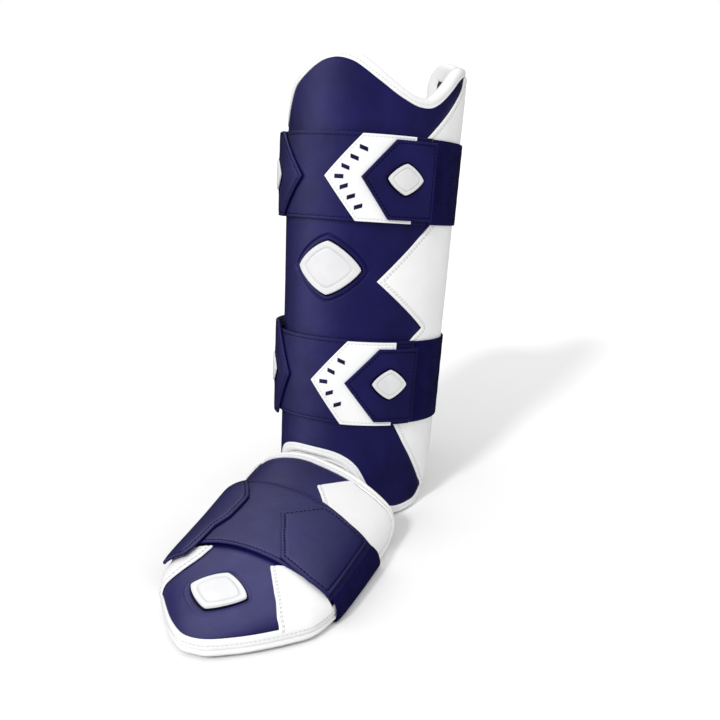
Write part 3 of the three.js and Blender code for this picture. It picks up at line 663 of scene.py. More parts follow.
def badge_piece(name, halfA, halfB, low, high, at, cad, skirt=1.5):
    n = 108
    rim_xy = diamond(halfA, halfB, n)
    rs = np.array([0.0, 0.18, 0.36, 0.52, 0.62, 0.68, 0.715, 0.74, 0.765, 0.80, 0.85, 0.90, 0.935, 0.96, 0.98, 0.992, 1.0])
    edge = np.clip((1 - rs) * min(halfA, halfB) / 1.1, 0, 1)
    top = low + (high - low) * (0.45 + 0.55 * np.sqrt(np.clip(1 - (1 - edge) ** 2, 0, 1)))
    top -= 0.42 * (high - low) * np.exp(-((rs - 0.74) / 0.022) ** 2)
    top += 0.12 * (1 - rs)
    rings = [at(rs[k] * rim_xy[:, 0], rs[k] * rim_xy[:, 1], np.full(n, top[k])) for k in range(1, len(rs))]
    rings.append(at(rim_xy[:, 0], rim_xy[:, 1], np.full(n, low + 0.35)))
    # narrow ring round the badge in very dark navy: painted shade of the recess round it
    away = unit(rim_xy)
    for dx, h in ((0.08, 0.55), (0.35, 0.72), (skirt * 0.6, 0.72), (skirt - 0.25, 0.55), (skirt, 0.15), (skirt, -0.7)):
        xy = rim_xy + away * dx
        rings.append(at(xy[:, 0], xy[:, 1], np.full(n, low + h)))
    centre = at(np.zeros(1), np.zeros(1), np.full(1, top[0]))
    V = np.concatenate([centre] + rings)
    F = []
    ids = 1 + np.arange(len(rings) * n).reshape(len(rings), n)
    nx = np.roll(ids, -1, 1)
    quads = np.stack([ids[:-1], ids[1:], nx[1:], nx[:-1]], -1).reshape(-1, 4)
    fan = np.stack([np.zeros(n // 2, int), ids[0, ::2], ids[0, 1::2], np.roll(ids[0, ::2], -1)], -1)
    F = np.concatenate([quads, fan])
    # outward faces
    fn = np.cross(V[quads[0, 1]] - V[quads[0, 0]], V[quads[0, 3]] - V[quads[0, 0]])
    if np.dot(fn, at(np.zeros(1), np.zeros(1), np.full(1, high + 1))[0] - centre[0]) < 0:
        F = F[:, ::-1]
    ring_no = np.concatenate([np.repeat(np.arange(len(rings) - 1), n), np.zeros(len(fan), int)])
    # the outer rings take the very dark navy: painted shade round the badge
    ob = add_mesh(name, V, F, [BADGE, BADGE_RING_SHADE], (ring_no >= len(rings) - 7).astype(int), np.zeros((len(V), 2)))
    return piece(ob, "moulded_badge", cad)


# ------------------------------------------------------------------ camera, light, floor

cam = bpy.data.objects.new("camera", bpy.data.cameras.new("camera"))
bpy.context.scene.collection.objects.link(cam)
bpy.context.scene.camera = cam
cam.data.lens, cam.data.sensor_width = 52.8, 36.0
cam.data.clip_start, cam.data.clip_end = 0.02, 60
fwd = Vector((-0.34973191, 0.88442631, -0.30899465)).normalized()
up = Vector((-0.1136257, 0.28734455, 0.95106378)).normalized()
right = fwd.cross(up).normalized()
cam.matrix_world = Matrix((
    (right.x, up.x, -fwd.x, 0.34359755 + SHIFT[0] * 0.001),
    (right.y, up.y, -fwd.y, -0.8377774 + SHIFT[1] * 0.001),
    (right.z, up.z, -fwd.z, 0.427 + SHIFT[2] * 0.001),
    (0, 0, 0, 1)))
bpy.context.scene.view_settings.view_transform = "Standard"



def sun_light(name, energy, angle, toward, diffuse=True, glossy=True):
    ob = bpy.data.objects.new(name, bpy.data.lights.new(name, "SUN"))
    bpy.context.scene.collection.objects.link(ob)
    ob.data.energy = energy
    ob.data.angle = math.radians(angle)
    ob.rotation_mode = "QUATERNION"
    ob.rotation_quaternion = Vector(toward).to_track_quat("Z", "Y")
    ob.visible_diffuse, ob.visible_glossy = diffuse, glossy
    return ob


sun_light("key", 1.45, 8, (-0.134, -0.764, 0.631), glossy=False)
sun_light("soft sheen front", 2.7, 60, (-0.80, -0.60, 0.12), diffuse=False)
sun_light("soft sheen top", 3.9, 60, (-0.22, 0.30, 0.93), diffuse=False)
world = bpy.data.worlds.new("studio")
bpy.context.scene.world = world
world.use_nodes = True
world.node_tree.nodes["Background"].inputs["Color"].default_value = (1.0, 1.0, 1.0, 1)
world.node_tree.nodes["Background"].inputs["Strength"].default_value = 1.0
world.cycles_visibility.glossy = False

floor_mat, fnt, fb = material("pale floor")
fnt.links.new(ramp(fnt, noise_tex(fnt, coords(fnt), 3, 2), [(0.3, (0.855, 0.855, 0.858)), (0.7, (0.868, 0.868, 0.868))]), fb.inputs["Base Color"])
fb.inputs["Roughness"].default_value = 0.9
fb.inputs["Specular IOR Level"].default_value = 0.0
floor = add_mesh("floor", [(-30, -30, 0), (30, -30, 0), (30, 30, 0), (-30, 30, 0)], [[0, 1, 2, 3]], [floor_mat], None, None, False)
floor.visible_glossy = False

# ------------------------------------------------------------------ shin pad


def density(lo, hi, dense, coarse_step, fine_step, unit_mm):
    """Grid positions from lo to hi, finer inside dense and near both ends."""
    x, out = lo, []
    while x < hi:
        out.append(x)
        near_end = min(x - lo, hi - x) * unit_mm < 5
        fine = any(a <= x < b for a, b in dense)
        x += (fine_step if fine else (1.0 if near_end else coarse_step)) / unit_mm
    out.append(hi)
    return np.array(out)


th = density(INNER, OUTER, [(-31, 25)], 4.0, 0.72, 1.33)
jj = density(0.0, 1.0, [(0.375, 0.60)], 4.2, 0.74, 330.0)
A, J = np.meshgrid(th, jj, indexing="ij")
W = SHIN_BOTTOM(A) + (SHIN_TOP(A) - SHIN_BOTTOM(A)) * J
s = Sheet(shin, A, W)
d = s.dist()
sd = badge_distance((A + 2.5) * 1.3, W - 213, 30.5, 23, 12)
top = -0.9 * (1 - rounding(d, 5.0)) + 0.22 * ripple(s.mid, 9, 3) * np.clip(d / 12, 0, 1)
top += -1.8 * np.exp(-((sd - 5.2) / 0.65) ** 2)          # groove round the emblem
top += 0.35 * np.exp(-((sd - 3.0) / 1.6) ** 2)            # raised island
top += np.where(sd < 0.4, -0.5, 0.0)                      # seat of the badge
bot = -SHELL_T + 0.8 * (1 - rounding(d, 4.0))
s.set(top, bot)
shin_pad = piece(s.build("shin_pad", NAVY, LINING), "padded_shell", "shin_shell")

badge_piece("shin_emblem", 30.5, 23, 0.1, 2.3, lambda a, b, o: shin(-2.5 + a / 1.3, 213 + b, o), "shin_badge")

# knitted lining with soft sewn channels
th = np.linspace(INNER + 3, OUTER - 3, 90)
jj = np.linspace(0, 1, 70)
A, J = np.meshgrid(th, jj, indexing="ij")
W = SHIN_BOTTOM(A) + 3.5 + (SHIN_TOP(A) - SHIN_BOTTOM(A) - 7) * J
s = Sheet(shin, A, W)
d = s.dist()
chan = np.abs(((A + 124) / 28.0) % 1 - 0.5) * 2
low = -9.75 - 0.9 * rounding(d, 12) + 0.7 * np.exp(-(((1 - chan) * 20) / 2.2) ** 2) * np.clip(d / 12, 0, 1)
s.set(np.full_like(A, -9.25), low)
piece(s.build("shin_lining_knit", LINING), "lining", "shin_lining")


# ------------------------------------------------------------------ shin binding


def edge_frame(pairs, surface, centre_pair):
    a, b = np.array(pairs, float).T
    E = surface(a, b, 0.0)
    da = 0.5 if np.max(np.abs(a)) > 2 else 0.005
    N = unit(np.cross(surface(a + da, b, 0.0) - surface(a - da, b, 0.0), surface(a, b + 0.5, 0.0) - surface(a, b - 0.5, 0.0)))
    out = surface(a, b, 1.0) - E
    N *= np.sign(np.sum(N * out, -1, keepdims=True))
    T = unit(np.roll(E, -1, 0) - np.roll(E, 1, 0))
    M = unit(np.cross(T, N))
    return E, M, N


ring = [(a, float(SHIN_TOP(a))) for a in np.arange(INNER, OUTER, 0.5)]
lo_w, hi_w = float(SHIN_BOTTOM(OUTER)), float(SHIN_TOP(OUTER))
ring += [(OUTER, w) for w in np.arange(hi_w, lo_w, -1.0)]
ring += [(a, float(SHIN_BOTTOM(a))) for a in np.arange(OUTER, INNER, -0.5)]
lo_w, hi_w = float(SHIN_BOTTOM(INNER)), float(SHIN_TOP(INNER))
ring += [(INNER, w) for w in np.arange(lo_w, hi_w, 1.0)]
E, M, N = edge_frame(ring, shin, None)
# away from the pad: the top edge points up
if M[200][2] < 0:
    M = -M
SHIN_PROFILE = [(-4.7, 4.5), (-4.35, 4.95), (-3.1, 5.1), (-2.0, 4.8), (-0.9, 5.05), (0.6, 4.85), (2.1, 3.9), (3.15, 2.2),
                (3.55, 0.0), (3.15, -2.4), (2.1, -4.4), (0.5, -5.8), (-1.6, -6.6), (-5.0, -6.9), (-10.2, -6.9), (-13.2, -6.7), (-13.9, -6.0), (-13.0, -5.4), (-8.2, -5.3), (-4.9, -5.2), (-4.4, -3.5), (-4.7, 0)]
b_ob, C, BM, BN, _ = binding("shin_edge_tape", E, M, N, (3.9, -4.5), SHIN_PROFILE, TAPE)
piece(b_ob, "binding", "shin_binding_top", "shin_binding_flap", "shin_binding_outer", "shin_binding_outer_lobe",
      "shin_binding_inner_lobe", "shin_binding_inner")
line = C + (BM * -2.0 + BN * 4.85) * 0.001
thread("shin_edge_thread", [(np.concatenate([line, line[:1]]), np.concatenate([BN, BN[:1]]))], YARN_WHITE, b_ob,
       length=2.0, pitch=3.2, radius=0.2, lift=0.0)


# ------------------------------------------------------------------ panels on the shin


def rows_panel(name, w0, w1, left, right, surface, lo, hi, mat, slot, cad, seam=4.3, nw=150, nj=60, which="j0", kinks=(), ripple_amp=0.15):
    """Panel in rows of the second coordinate, with a seam along its first edge."""
    w = np.unique(np.concatenate([np.linspace(w0, w1, nw), kinks]))
    j = spans(80, 80 / nj)
    Wg, J = np.meshgrid(w, j, indexing="ij")
    Ag = left(Wg) + (right(Wg) - left(Wg)) * J
    s = Sheet(surface, Ag, Wg)
    d, de = s.dist(), s.dist(which)
    top, bot = thick(d, lo, hi, 0.9, 0.3)
    top = top - 0.3 * np.exp(-((de - seam) / 0.8) ** 2) + ripple_amp * ripple(s.mid, 11, 5) * np.clip(d / 10, 0, 1)
    s.set(top, bot)
    ob = piece(s.build(name, mat), slot, cad)
    chains = contours(s.top, s.N, de + 1e3 * (d < seam * 0.55), seam)
    thread(name + "_thread", chains, YARN_WHITE, ob, radius=0.3)
    return ob


zig_kinks = [23, 60, 80.8, 122, 157.2, 164, 204, 242.5, 254.5, 268, 313, 332, 351, 374, 383.6, 386, 389, 393]
rows_panel("shin_white_outer", 15.2, 395.8, ZIG_OUTER, ZIG_OUTER_REAR, shin, 0.3, 1.9, WHITE, "white_panel",
           "shin_panel_outer", nw=150, nj=36, kinks=zig_kinks)
rows_panel("shin_white_inner", 39.5, 336.8, ZIG_INNER, ZIG_INNER_REAR, shin, 0.3, 1.9, WHITE, "white_panel",
           "shin_panel_inner", nw=120, nj=24, kinks=[60, 122, 166, 206, 268, 313, 330])

# ------------------------------------------------------------------ straps round the shin

UPPER, LOWER = (253.5, 326.5), (79.5, 153.5)
for name, (lo, hi) in (("upper", UPPER), ("lower", LOWER)):
    w = lo + (hi - lo) * spans(hi - lo, 2.2)
    a = -66 + 128.5 * spans(170, 2.4)
    A, W = np.meshgrid(a, w, indexing="ij")
    s = Sheet(shin, A, W)
    d, de = s.dist(), s.dist("j")
    top, bot = thick(d, 2.2, 4.2, 0.9, 0.15, 3.0, 0.2)
    top += 0.14 * ripple(s.mid, 14, 11)
    s.set(top, bot)
    ob = piece(s.build(name + "_band_leather", NAVY_BAND), "strap_band", name + "_band")
    thread(name + "_band_thread", contours(s.top, s.N, de, 3.0), YARN_NAVY, ob, radius=0.28)
    # elastic on round the back
    w = lo + 0.5 + (hi - lo - 1) * spans(hi - lo - 1, 2.4)
    a = 63.0 + 230.5 * spans(330, 2.2)
    A, W = np.meshgrid(a, w, indexing="ij")
    s = Sheet(shin, A, W)
    d = s.dist()
    top, bot = thick(d, 2.6, 4.3, 0.85, 0.0)
    rib = 0.07 * np.sin((W - lo) / 3.0 * 2 * np.pi)
    free = np.clip((A - 120) / 40, 0, 1) * np.clip((272 - A) / 40, 0, 1)
    wave = 0.35 * ripple(s.mid, 6, 21) * free
    s.set(top + rib + wave, bot + wave)
    piece(s.build(name + "_elastic_web", ELASTIC), "elastic", name + "_elastic")

TAB_EDGES = {
    "upper_tab_backing": [[254, 15.5], [290, -5], [326, 18]],
    "upper_tab_outer": [[256.6, 34.5], [290.7, 18], [322.8, 37.2]],
    "upper_tab_inner": [[253.5, -44.5], [289, -21.5], [326.5, -45.5]],
    "lower_tab_backing": [[79.2, 12.2], [115.7, -9.8], [152.4, 14.8]],
    "lower_tab_outer": [[82.8, 34], [116.1, 14], [147, 35]],
    "lower_tab_inner": [[76, -48], [116.2, -29.8], [160, -48.5]],
}


def tab(cad, piece_name, mat, yarn_mat, slot, far, lo, hi, badge=None, puff=0.25, seam=2.9, curl=0.0):
    rows = TAB_EDGES[cad]
    w0, wt, w1 = rows[0][0], rows[1][0], rows[2][0]
    half_lo = spans(wt - w0, 1.8, both=False)
    half_hi = 1 - spans(w1 - wt, 1.8, both=False)[::-1]
    w = np.concatenate([w0 + (wt - w0) * half_lo, (wt + (w1 - wt) * half_hi)[1:]])
    length = abs(far - rows[1][1]) * 1.35
    j = spans(length, 1.7)
    W, J = np.meshgrid(w, j, indexing="ij")
    edge = table(rows)(W)
    A = edge + (far - edge) * J
    s = Sheet(shin, A, W)
    d = s.dist()
    top, bot = thick(d, lo, hi, min(1.2, (hi - lo) / 2), puff, seam, 0.45)
    if badge:
        ca, cw, k, ha, hb = badge
        sd = badge_distance((A - ca) * k, W - cw, ha, hb, 6)
        top += -0.9 * np.exp(-((sd - 2.2) / 0.8) ** 2) + 0.3 * np.exp(-((sd - 4.2) / 0.9) ** 2)
        top += np.where(sd < 0.5, -0.45, 0)
    lift = curl * np.clip((wt - W) / (wt - w0), 0, 1) ** 2
    lift += 0.10 * ripple(s.mid, 13, 31)
    s.set(top + lift, bot + lift)
    ob = piece(s.build(piece_name, mat), slot, cad)
    thread(piece_name + "_thread", contours(s.top, s.N, d, seam), yarn_mat, ob, length=2.0, pitch=3.3, radius=0.42 if mat is not WHITE else 0.22)
    return ob


tab("upper_tab_backing", "upper_chevron", WHITE, YARN_WHITE, "white_panel", 50, 4.6, 6.2, seam=2.2)
tab("lower_tab_backing", "lower_chevron", WHITE, YARN_WHITE, "white_panel", 46.5, 4.6, 6.2, seam=2.2)
tab("upper_tab_outer", "upper_pentagon", NAVY_TAB, YARN_NAVY, "strap_tab", 64, 6.6, 8.9, (43.9, 290.5, 1.36, 14.5, 13))
tab("lower_tab_outer", "lower_pentagon", NAVY_TAB, YARN_NAVY, "strap_tab", 61.8, 6.6, 8.9, (42.6, 116.5, 1.29, 14.5, 13))
tab("upper_tab_inner", "upper_inner_tab", NAVY_TAB, YARN_NAVY, "strap_tab", -92, 4.7, 7.3, (-56.5, 289.5, 1.45, 14.5, 13))
tab("lower_tab_inner", "lower_inner_tab", NAVY_TAB, YARN_NAVY, "strap_tab", -92, 4.7, 7.3, (-58.5, 117, 1.36, 14.5, 13))
badge_piece("upper_pentagon_badge", 14.5, 13, 8.9, 10.9, lambda a, b, o: shin(43.9 + a / 1.36, 290.5 + b, o), "upper_badge_outer")
badge_piece("lower_pentagon_badge", 14.5, 13, 8.9, 10.9, lambda a, b, o: shin(42.6 + a / 1.29, 116.5 + b, o), "lower_badge_outer")
badge_piece("upper_inner_badge", 14.5, 13, 7.3, 9.3, lambda a, b, o: shin(-56.5 + a / 1.45, 289.5 + b, o), "upper_badge_inner")
badge_piece("lower_inner_badge", 14.5, 13, 7.3, 9.3, lambda a, b, o: shin(-58.5 + a / 1.36, 117 + b, o), "lower_badge_inner")


# ------------------------------------------------------------------ foot pad

uu = density(-1.0, 1.0, [(-0.50, 0.30)], 2.4, 1.1, 98.0)
jj = density(0.0, 1.0, [(0.62, 0.97)], 2.6, 0.95, 220.0)
U, J = np.meshgrid(uu, jj, indexing="ij")
T = FOOT_BACK(U) + (TIP - FOOT_BACK(U)) * J
s = Sheet(foot, U, T)
d = s.dist()
across = np.sign(U) * np.abs(np.sin(U * np.pi / 2)) ** 0.8 * FOOT_HALF(T)
sd = badge_distance(across + 8.3, 244.5 - T, 22.5, 17, 6)
top = -0.9 * (1 - rounding(d, 5.0)) + 0.2 * ripple(s.mid, 10, 41) * np.clip(d / 12, 0, 1)
top += -1.0 * np.exp(-((sd - 2.4) / 1.0) ** 2) + 0.3 * np.exp(-((sd - 4.8) / 1.0) ** 2) + np.where(sd < 0.5, -0.4, 0)
thickness = SHELL_T * np.clip(d / 9, 0.5, 1)
s.set(top, top * 0 - np.minimum(thickness, FOOT_CROWN(T) - FOOT_EDGE))
s.bot[..., 1] = np.maximum(s.bot[..., 1], (-277 + SHIFT[1]) * 0.001)
foot_pad = piece(s.build("foot_pad", NAVY, LINING), "padded_shell", "foot_shell")
badge_piece("foot_emblem", 22.5, 17, 0.1, 2.3, lambda a, b, o: foot_at(-8.3 + a, 244.5 - b, o), "foot_badge")

# binding: ankle edge, then down and round the sole edge
us = np.arange(-1.0, 1.0001, 0.01)
E1, M1, N1 = edge_frame([(u, float(FOOT_BACK(u))) for u in us], foot, None)
T1 = np.gradient(E1, axis=0)
M1 = unit(np.cross(T1, N1))
if M1[len(us) // 2][1] < 0:
    M1 = -M1
ts = np.concatenate([np.arange(94, 270, 2.0), np.arange(270, 287, 0.7), [287.0]])
right_side = foot(np.ones_like(ts), ts, 0.0)
tip = foot(np.linspace(1, -1, 21)[1:-1], np.full(19, 287.0), 0.0)
tip[:, 2] = right_side[0, 2]
tl = np.concatenate([np.arange(72, 270, 2.0), np.arange(270, 287, 0.7), [287.0]])
left_side = foot(-np.ones_like(tl), tl, 0.0)[::-1]
low = np.concatenate([right_side, tip, left_side])
Tl = unit(np.gradient(low, axis=0))
Nl = unit(np.cross(Tl, np.array([0, 0, 1.0])))
if Nl[5][0] < 0:
    Nl = -Nl
Ml = np.tile([0, 0, -1.0], (len(low), 1))
E, M, N = np.concatenate([E1, low]), np.concatenate([M1, Ml]), np.concatenate([N1, Nl])
FOOT_PROFILE = [(-5.6, 4.3), (-5.25, 4.8), (-3.9, 4.95), (-2.4, 4.75), (-1.35, 3.75), (-0.35, 4.75), (1.1, 5.05), (2.8, 4.3),
                (4.1, 2.4), (4.7, 0.0), (4.1, -2.6), (2.7, -4.4), (0.6, -5.2), (-1.6, -5.4), (-5.1, -5.4), (-5.6, -4.9), (-5.6, -1)]
trim = np.concatenate([np.zeros(len(E1)), np.full(len(low), 0.25)])
b_ob, C, BM, BN, cut = binding("foot_edge_tape", E, M, N, (4.8, -3.7), FOOT_PROFILE, TAPE, smooth=9, trim=trim)
piece(b_ob, "binding", "foot_binding")
line, keep = C + (BM * -2.9 + BN * 4.9) * 0.001, cut < 0.12
start = int(np.argmax(keep & ~np.roll(keep, 1)))
keep, line, BN = np.roll(keep, -start), np.roll(line, -start, 0), np.roll(BN, -start, 0)
thread("foot_edge_thread", [(line[keep], BN[keep])], YARN_WHITE, b_ob, length=2.1, pitch=3.3, radius=0.26, lift=-0.05)


def plan_foot(x, y):
    """Top surface of the foot guard above the plan point x (sideways), y (distance forward), before the shift."""
    t = np.clip(y, 60, TIP)
    X = np.clip((x - FOOT_MID(t)) / FOOT_HALF(t), -1, 1)
    Z = np.maximum(1 - np.abs(X) ** 2.5, 0) ** 0.4
    rise = np.maximum(FOOT_CROWN(t) - FOOT_EDGE, 0.6)
    xs = X * FOOT_HALF(t)
    return np.stack([x, -y, FOOT_EDGE + rise * Z - 0.05 * xs * Z * np.minimum(1, rise / 20)], -1)


# wide lip of the tape, lying on the pad above the sole edge
ts = np.concatenate([np.arange(97, 262, 2.0), np.arange(262, 287, 0.8), [286.9]])
plan = np.concatenate([np.stack([FOOT_MID(ts) + FOOT_HALF(ts), ts], -1), np.stack([FOOT_MID(ts) - FOOT_HALF(ts), ts], -1)[::-1]])
seg = np.concatenate([[0], np.cumsum(np.linalg.norm(np.diff(plan, axis=0), axis=1))])
q = np.arange(0, seg[-1], 1.5)
plan = np.stack([np.interp(q, seg, plan[:, k]) for k in (0, 1)], -1)
for _ in range(14):
    plan[1:-1] = 0.5 * plan[1:-1] + 0.25 * (plan[2:] + plan[:-2])
along = unit(np.gradient(plan, axis=0))
inward = np.stack([-along[:, 1], along[:, 0]], -1)
if inward[5, 0] > 0:
    inward = -inward
for _ in range(40):
    inward[1:-1] = 0.5 * inward[1:-1] + 0.25 * (inward[2:] + inward[:-2])
inward = unit(inward)
depths = np.concatenate([[0.02, 0.06, 0.15, 0.3, 0.55, 0.9, 1.4, 2.0], np.arange(2.8, 13, 0.8)])
deep = plan[:, None] + inward[:, None] * depths[None, :, None]
deep[:, :, 1] = np.minimum(deep[:, :, 1], 286.8)
S3 = plan_foot(deep[..., 0], deep[..., 1])
below = np.repeat(S3[:, :1], 2, 1)
below[:, 0, 2], below[:, 1, 2] = FOOT_EDGE - 3.0, FOOT_EDGE - 1.4
S3[:, 0, 2] = np.maximum(S3[:, 0, 2], FOOT_EDGE)
S3 = np.concatenate([below, S3], 1)
arc = np.concatenate([np.zeros((len(plan), 1)), np.cumsum(np.linalg.norm(np.diff(S3, axis=1), axis=-1), 1)], 1)
LIP = 7.6
rows_q = LIP * spans(LIP, 0.55, edge=(0, 0.15, 0.4, 0.8, 1.2, 1.6))
L3 = np.stack([[np.interp(rows_q, arc[i], S3[i, :, k]) for k in range(3)] for i in range(len(plan))]).transpose(0, 2, 1)
for k in range(26):
    far = rows_q >= LIP * k / 30
    L3[1:-1, far] = 0.5 * L3[1:-1, far] + 0.25 * (L3[2:, far] + L3[:-2, far])
L3 = row(L3)
ln = normals(L3)
ln *= np.sign(ln[..., 2].mean()) if abs(ln[..., 2].mean()) > 0.05 else 1
ln = np.where(ln[..., 2:] < -0.05, -ln, ln)
edge_d = np.minimum(LIP - rows_q, 3.0)[None, :]
face = 0.3 + 1.1 * rounding(edge_d, 1.3) - 0.3 * np.exp(-((rows_q[None, :] - 3.5) / 0.5) ** 2)
face = face - 1.0 * np.exp(-(rows_q[None, :] / 0.9) ** 2)
s = Sheet.__new__(Sheet)
s.A = s.B = L3[..., 0]
s.mid = L3
s.top, s.bot = L3 + ln * face[..., None] * 0.001, L3 - ln * 0.0006
s.flip = np.mean(np.sum(normals(s.top) * (s.top - s.bot), -1)) < 0
lip = s.build("foot_edge_lip", TAPE)
lip.parent = b_ob
k4 = int(np.argmin(np.abs(rows_q - 3.5)))
thread("foot_lip_thread", [(s.top[3:-3, k4], ln[3:-3, k4])], YARN_WHITE, b_ob, length=2.1, pitch=3.3, radius=0.27, lift=0.05)


# ------------------------------------------------------------------ pieces on the foot


def foot_piece(name, u0, u1, rear, front, lo, hi, mat, yarn_mat, slot, cad, seam=3.0, which="all", nu=90, nt=40, puff=0.2,
               kinks=(), depth=0.3, seed=51, radius=0.3, curl=None, piping=None):
    span = abs(u1 - u0) * 98
    u = np.unique(np.round(np.concatenate([u0 + (u1 - u0) * spans(span, span / nu), kinks]), 6))
    mid = 0.5 * (u0 + u1)
    depth_mm = abs(float(front(mid)) - float(rear(mid)))
    j = spans(max(depth_mm, 20), max(depth_mm, 20) / nt)
    if piping is not None:
        j = np.unique(np.concatenate([j, np.linspace(0, 0.16, 40)]))
    U, J = np.meshgrid(u, j, indexing="ij")
    T = rear(U) + (front(U) - rear(U)) * J
    s = Sheet(foot, U, T)
    d = s.dist()
    de = d if which == "all" else s.dist(which)
    top, bot = thick(d, lo, hi, min(1.1, (hi - lo) / 2 + 0.2), puff)
    top = top - depth * np.exp(-((de - seam) / 0.75) ** 2)
    if piping is not None:
        dr = s.dist("j0")
        top = top - 0.75 * np.exp(-((dr - 2.9) / 0.55) ** 2) * np.clip((U - piping) / 0.1, 0, 1)
        top = top + 0.45 * np.exp(-((dr - 1.2) / 0.9) ** 2) * np.clip((U - piping) / 0.1, 0, 1)
    lift = 0.1 * ripple(s.mid, 13, seed) * np.clip(d / 6, 0, 1)
    if curl is not None:
        lift = lift + curl(U, T, d)
    s.set(top + lift, bot + lift)
    ob = s.build(name, mat)
    if piping is not None:
        # faces along the piping groove take the grey material: painted shade in the groove
        ob.data.materials.append(PIPING_GROOVE_SHADE)
        ni, nj = U.shape
        centre = 0.25 * (dr[1:, 1:] + dr[:-1, 1:] + dr[1:, :-1] + dr[:-1, :-1])
        for i, j in zip(*np.nonzero((np.abs(centre - 2.9) < 0.42) & (U[1:, 1:] > piping))):
            ob.data.polygons[int(i) * (nj - 1) + int(j)].material_index = 1
    piece(ob, slot, cad)
    field = de if which == "all" else de + 1e3 * (d < seam * 0.5)
    thread(name + "_thread", contours(s.top, s.N, field, seam), yarn_mat, ob, radius=radius)
    return ob


TOE_OUTER_REAR = table([[0.116, 210.6], [0.157, 207.9], [0.211, 205.5], [0.45, 211.5], [0.83, 214.5], [1, 214.5]])
TOE_OUTER_FRONT = table([[0.116, 211], [0.158, 218.4], [0.206, 225.9], [0.274, 234.7], [0.38, 243.2], [0.589, 251.6], [0.901, 256.5], [1, 257.5]], True)
foot_piece("toe_white_outer", 0.117, 0.985, TOE_OUTER_REAR, TOE_OUTER_FRONT, 0.3, 1.9, WHITE, YARN_WHITE, "white_panel",
           "foot_panel_toe_outer", seam=3.2, which="j1", kinks=[0.157, 0.211], radius=0.26)
TOE_INNER_REAR = table([[-1, 210.5], [-0.7, 209.5], [-0.57, 205.5], [-0.46, 204], [-0.277, 202.2]])
TOE_INNER_FRONT = table([[-1, 247], [-0.65, 239.5], [-0.534, 234.7], [-0.409, 226.1], [-0.323, 216], [-0.277, 203.8]], True)
foot_piece("toe_white_inner", -0.985, -0.278, TOE_INNER_REAR, TOE_INNER_FRONT, 0.3, 1.9, WHITE, YARN_WHITE, "white_panel",
           "foot_panel_toe_inner", seam=3.2, which="j1", radius=0.26)
ANKLE_OUTER_FRONT = table([[0.064, 99.5], [0.106, 107.9], [0.157, 118.1], [0.19, 125], [0.324, 131.5], [0.5, 138], [0.7, 140], [0.85, 140], [1, 136]])
back_in = lambda u: np.maximum(table([[0.064, 98.4], [0.129, 91.3], [0.192, 84.3], [0.264, 76.9], [1, 60]])(u), FOOT_BACK(u) + 0.6)
foot_piece("ankle_white_outer", 0.065, 0.985, back_in, ANKLE_OUTER_FRONT, 0.3, 1.9, WHITE, YARN_WHITE, "white_panel",
           "foot_panel_ankle_outer", seam=3.2, which="j1", kinks=[0.106, 0.157, 0.264], radius=0.26, piping=0.3)
back_in2 = lambda u: FOOT_BACK(u) + 0.6
foot_piece("ankle_white_inner", -0.985, -0.60, back_in2, table([[-1, 99], [-0.9, 95], [-0.62, 68], [-0.6, 60]]), 0.3, 1.9, WHITE,
           YARN_WHITE, "white_panel", "foot_panel_ankle_inner", seam=3.0, which="j1", radius=0.26, nu=40, nt=20)
foot_piece("instep_band", -0.79, 0.79, BAND_REAR, BAND_FRONT, 2.2, 4.1, NAVY_BAND, YARN_BAND, "strap_band", "foot_band",
           seam=3.0, which="j", nu=90, nt=44, radius=0.26)
TAB_OUTER_REAR = table([[0, 152.6], [0.038, 147.7], [0.091, 141.9], [0.152, 135.2], [0.193, 130.6], [0.261, 131.8], [0.328, 134], [0.405, 136.6],
                        [0.486, 138.7], [0.585, 140.3], [0.7, 140.6]])
TAB_OUTER_FRONT = table([[0, 153.4], [0.064, 180.3], [0.147, 204.1], [0.203, 207], [0.263, 209.5], [0.335, 212.1], [0.409, 214.2],
                         [0.473, 215.4], [0.542, 216.1], [0.7, 216.8]])
foot_piece("foot_outer_tab", 0.0, 0.7, TAB_OUTER_REAR, TAB_OUTER_FRONT, 4.4, 6.6, NAVY_TAB, YARN_NAVY, "strap_tab",
           "foot_tab_outer", seam=2.9, nu=80, nt=60, kinks=[0.064, 0.147, 0.193], depth=0.5, radius=0.44)
TAB_INNER_REAR = table([[-0.74, 111], [-0.54, 111.6], [-0.367, 111.4], [-0.294, 124.3], [-0.24, 138]])
TAB_INNER_FRONT = table([[-0.74, 221], [-0.435, 219.4], [-0.392, 212.9], [-0.361, 202], [-0.338, 184.2], [-0.305, 177.1], [-0.269, 169.1],
                         [-0.25, 153.7], [-0.24, 140]])
foot_piece("foot_inner_tab", -0.74, -0.24, TAB_INNER_REAR, TAB_INNER_FRONT, 4.7, 7.3, NAVY_TAB, YARN_NAVY, "strap_tab",
           "foot_tab_inner", seam=2.9, nu=64, nt=60, kinks=[-0.435, -0.392, -0.367, -0.361, -0.338, -0.305, -0.294, -0.269, -0.25], depth=0.5, radius=0.42)


# ------------------------------------------------------------------ elastic under the sole and ankle gusset


def refine(G, steps, axis_positions=None):
    """Monotone smooth refinement of a grid of points along its first axis, steps points in all."""
    n, m = G.shape[:2]
    mean = G.mean(1)
    s = np.concatenate([[0], np.cumsum(np.linalg.norm(np.diff(mean, axis=0), axis=1))])
    s /= s[-1]
    q = np.unique(np.concatenate([np.linspace(0, 1, steps), s])) if axis_positions is None else axis_positions
    out = np.empty((len(q), m, 3))
    for j in range(m):
        for k in range(3):
            out[:, j, k] = table(np.stack([s, G[:, j, k]], 1).tolist(), True)(q)
    return out, q


def two_layers(name, top, bot, mat, seam=None):
    s = Sheet.__new__(Sheet)
    s.A, s.B, s.mid = top[..., 0], top[..., 1], (top + bot) / 2
    n = normals(top)
    s.flip = np.mean(np.sum(n * (top - bot), -1)) < 0
    s.top, s.bot = top, bot
    s.N = n * (-1 if s.flip else 1)
    return s


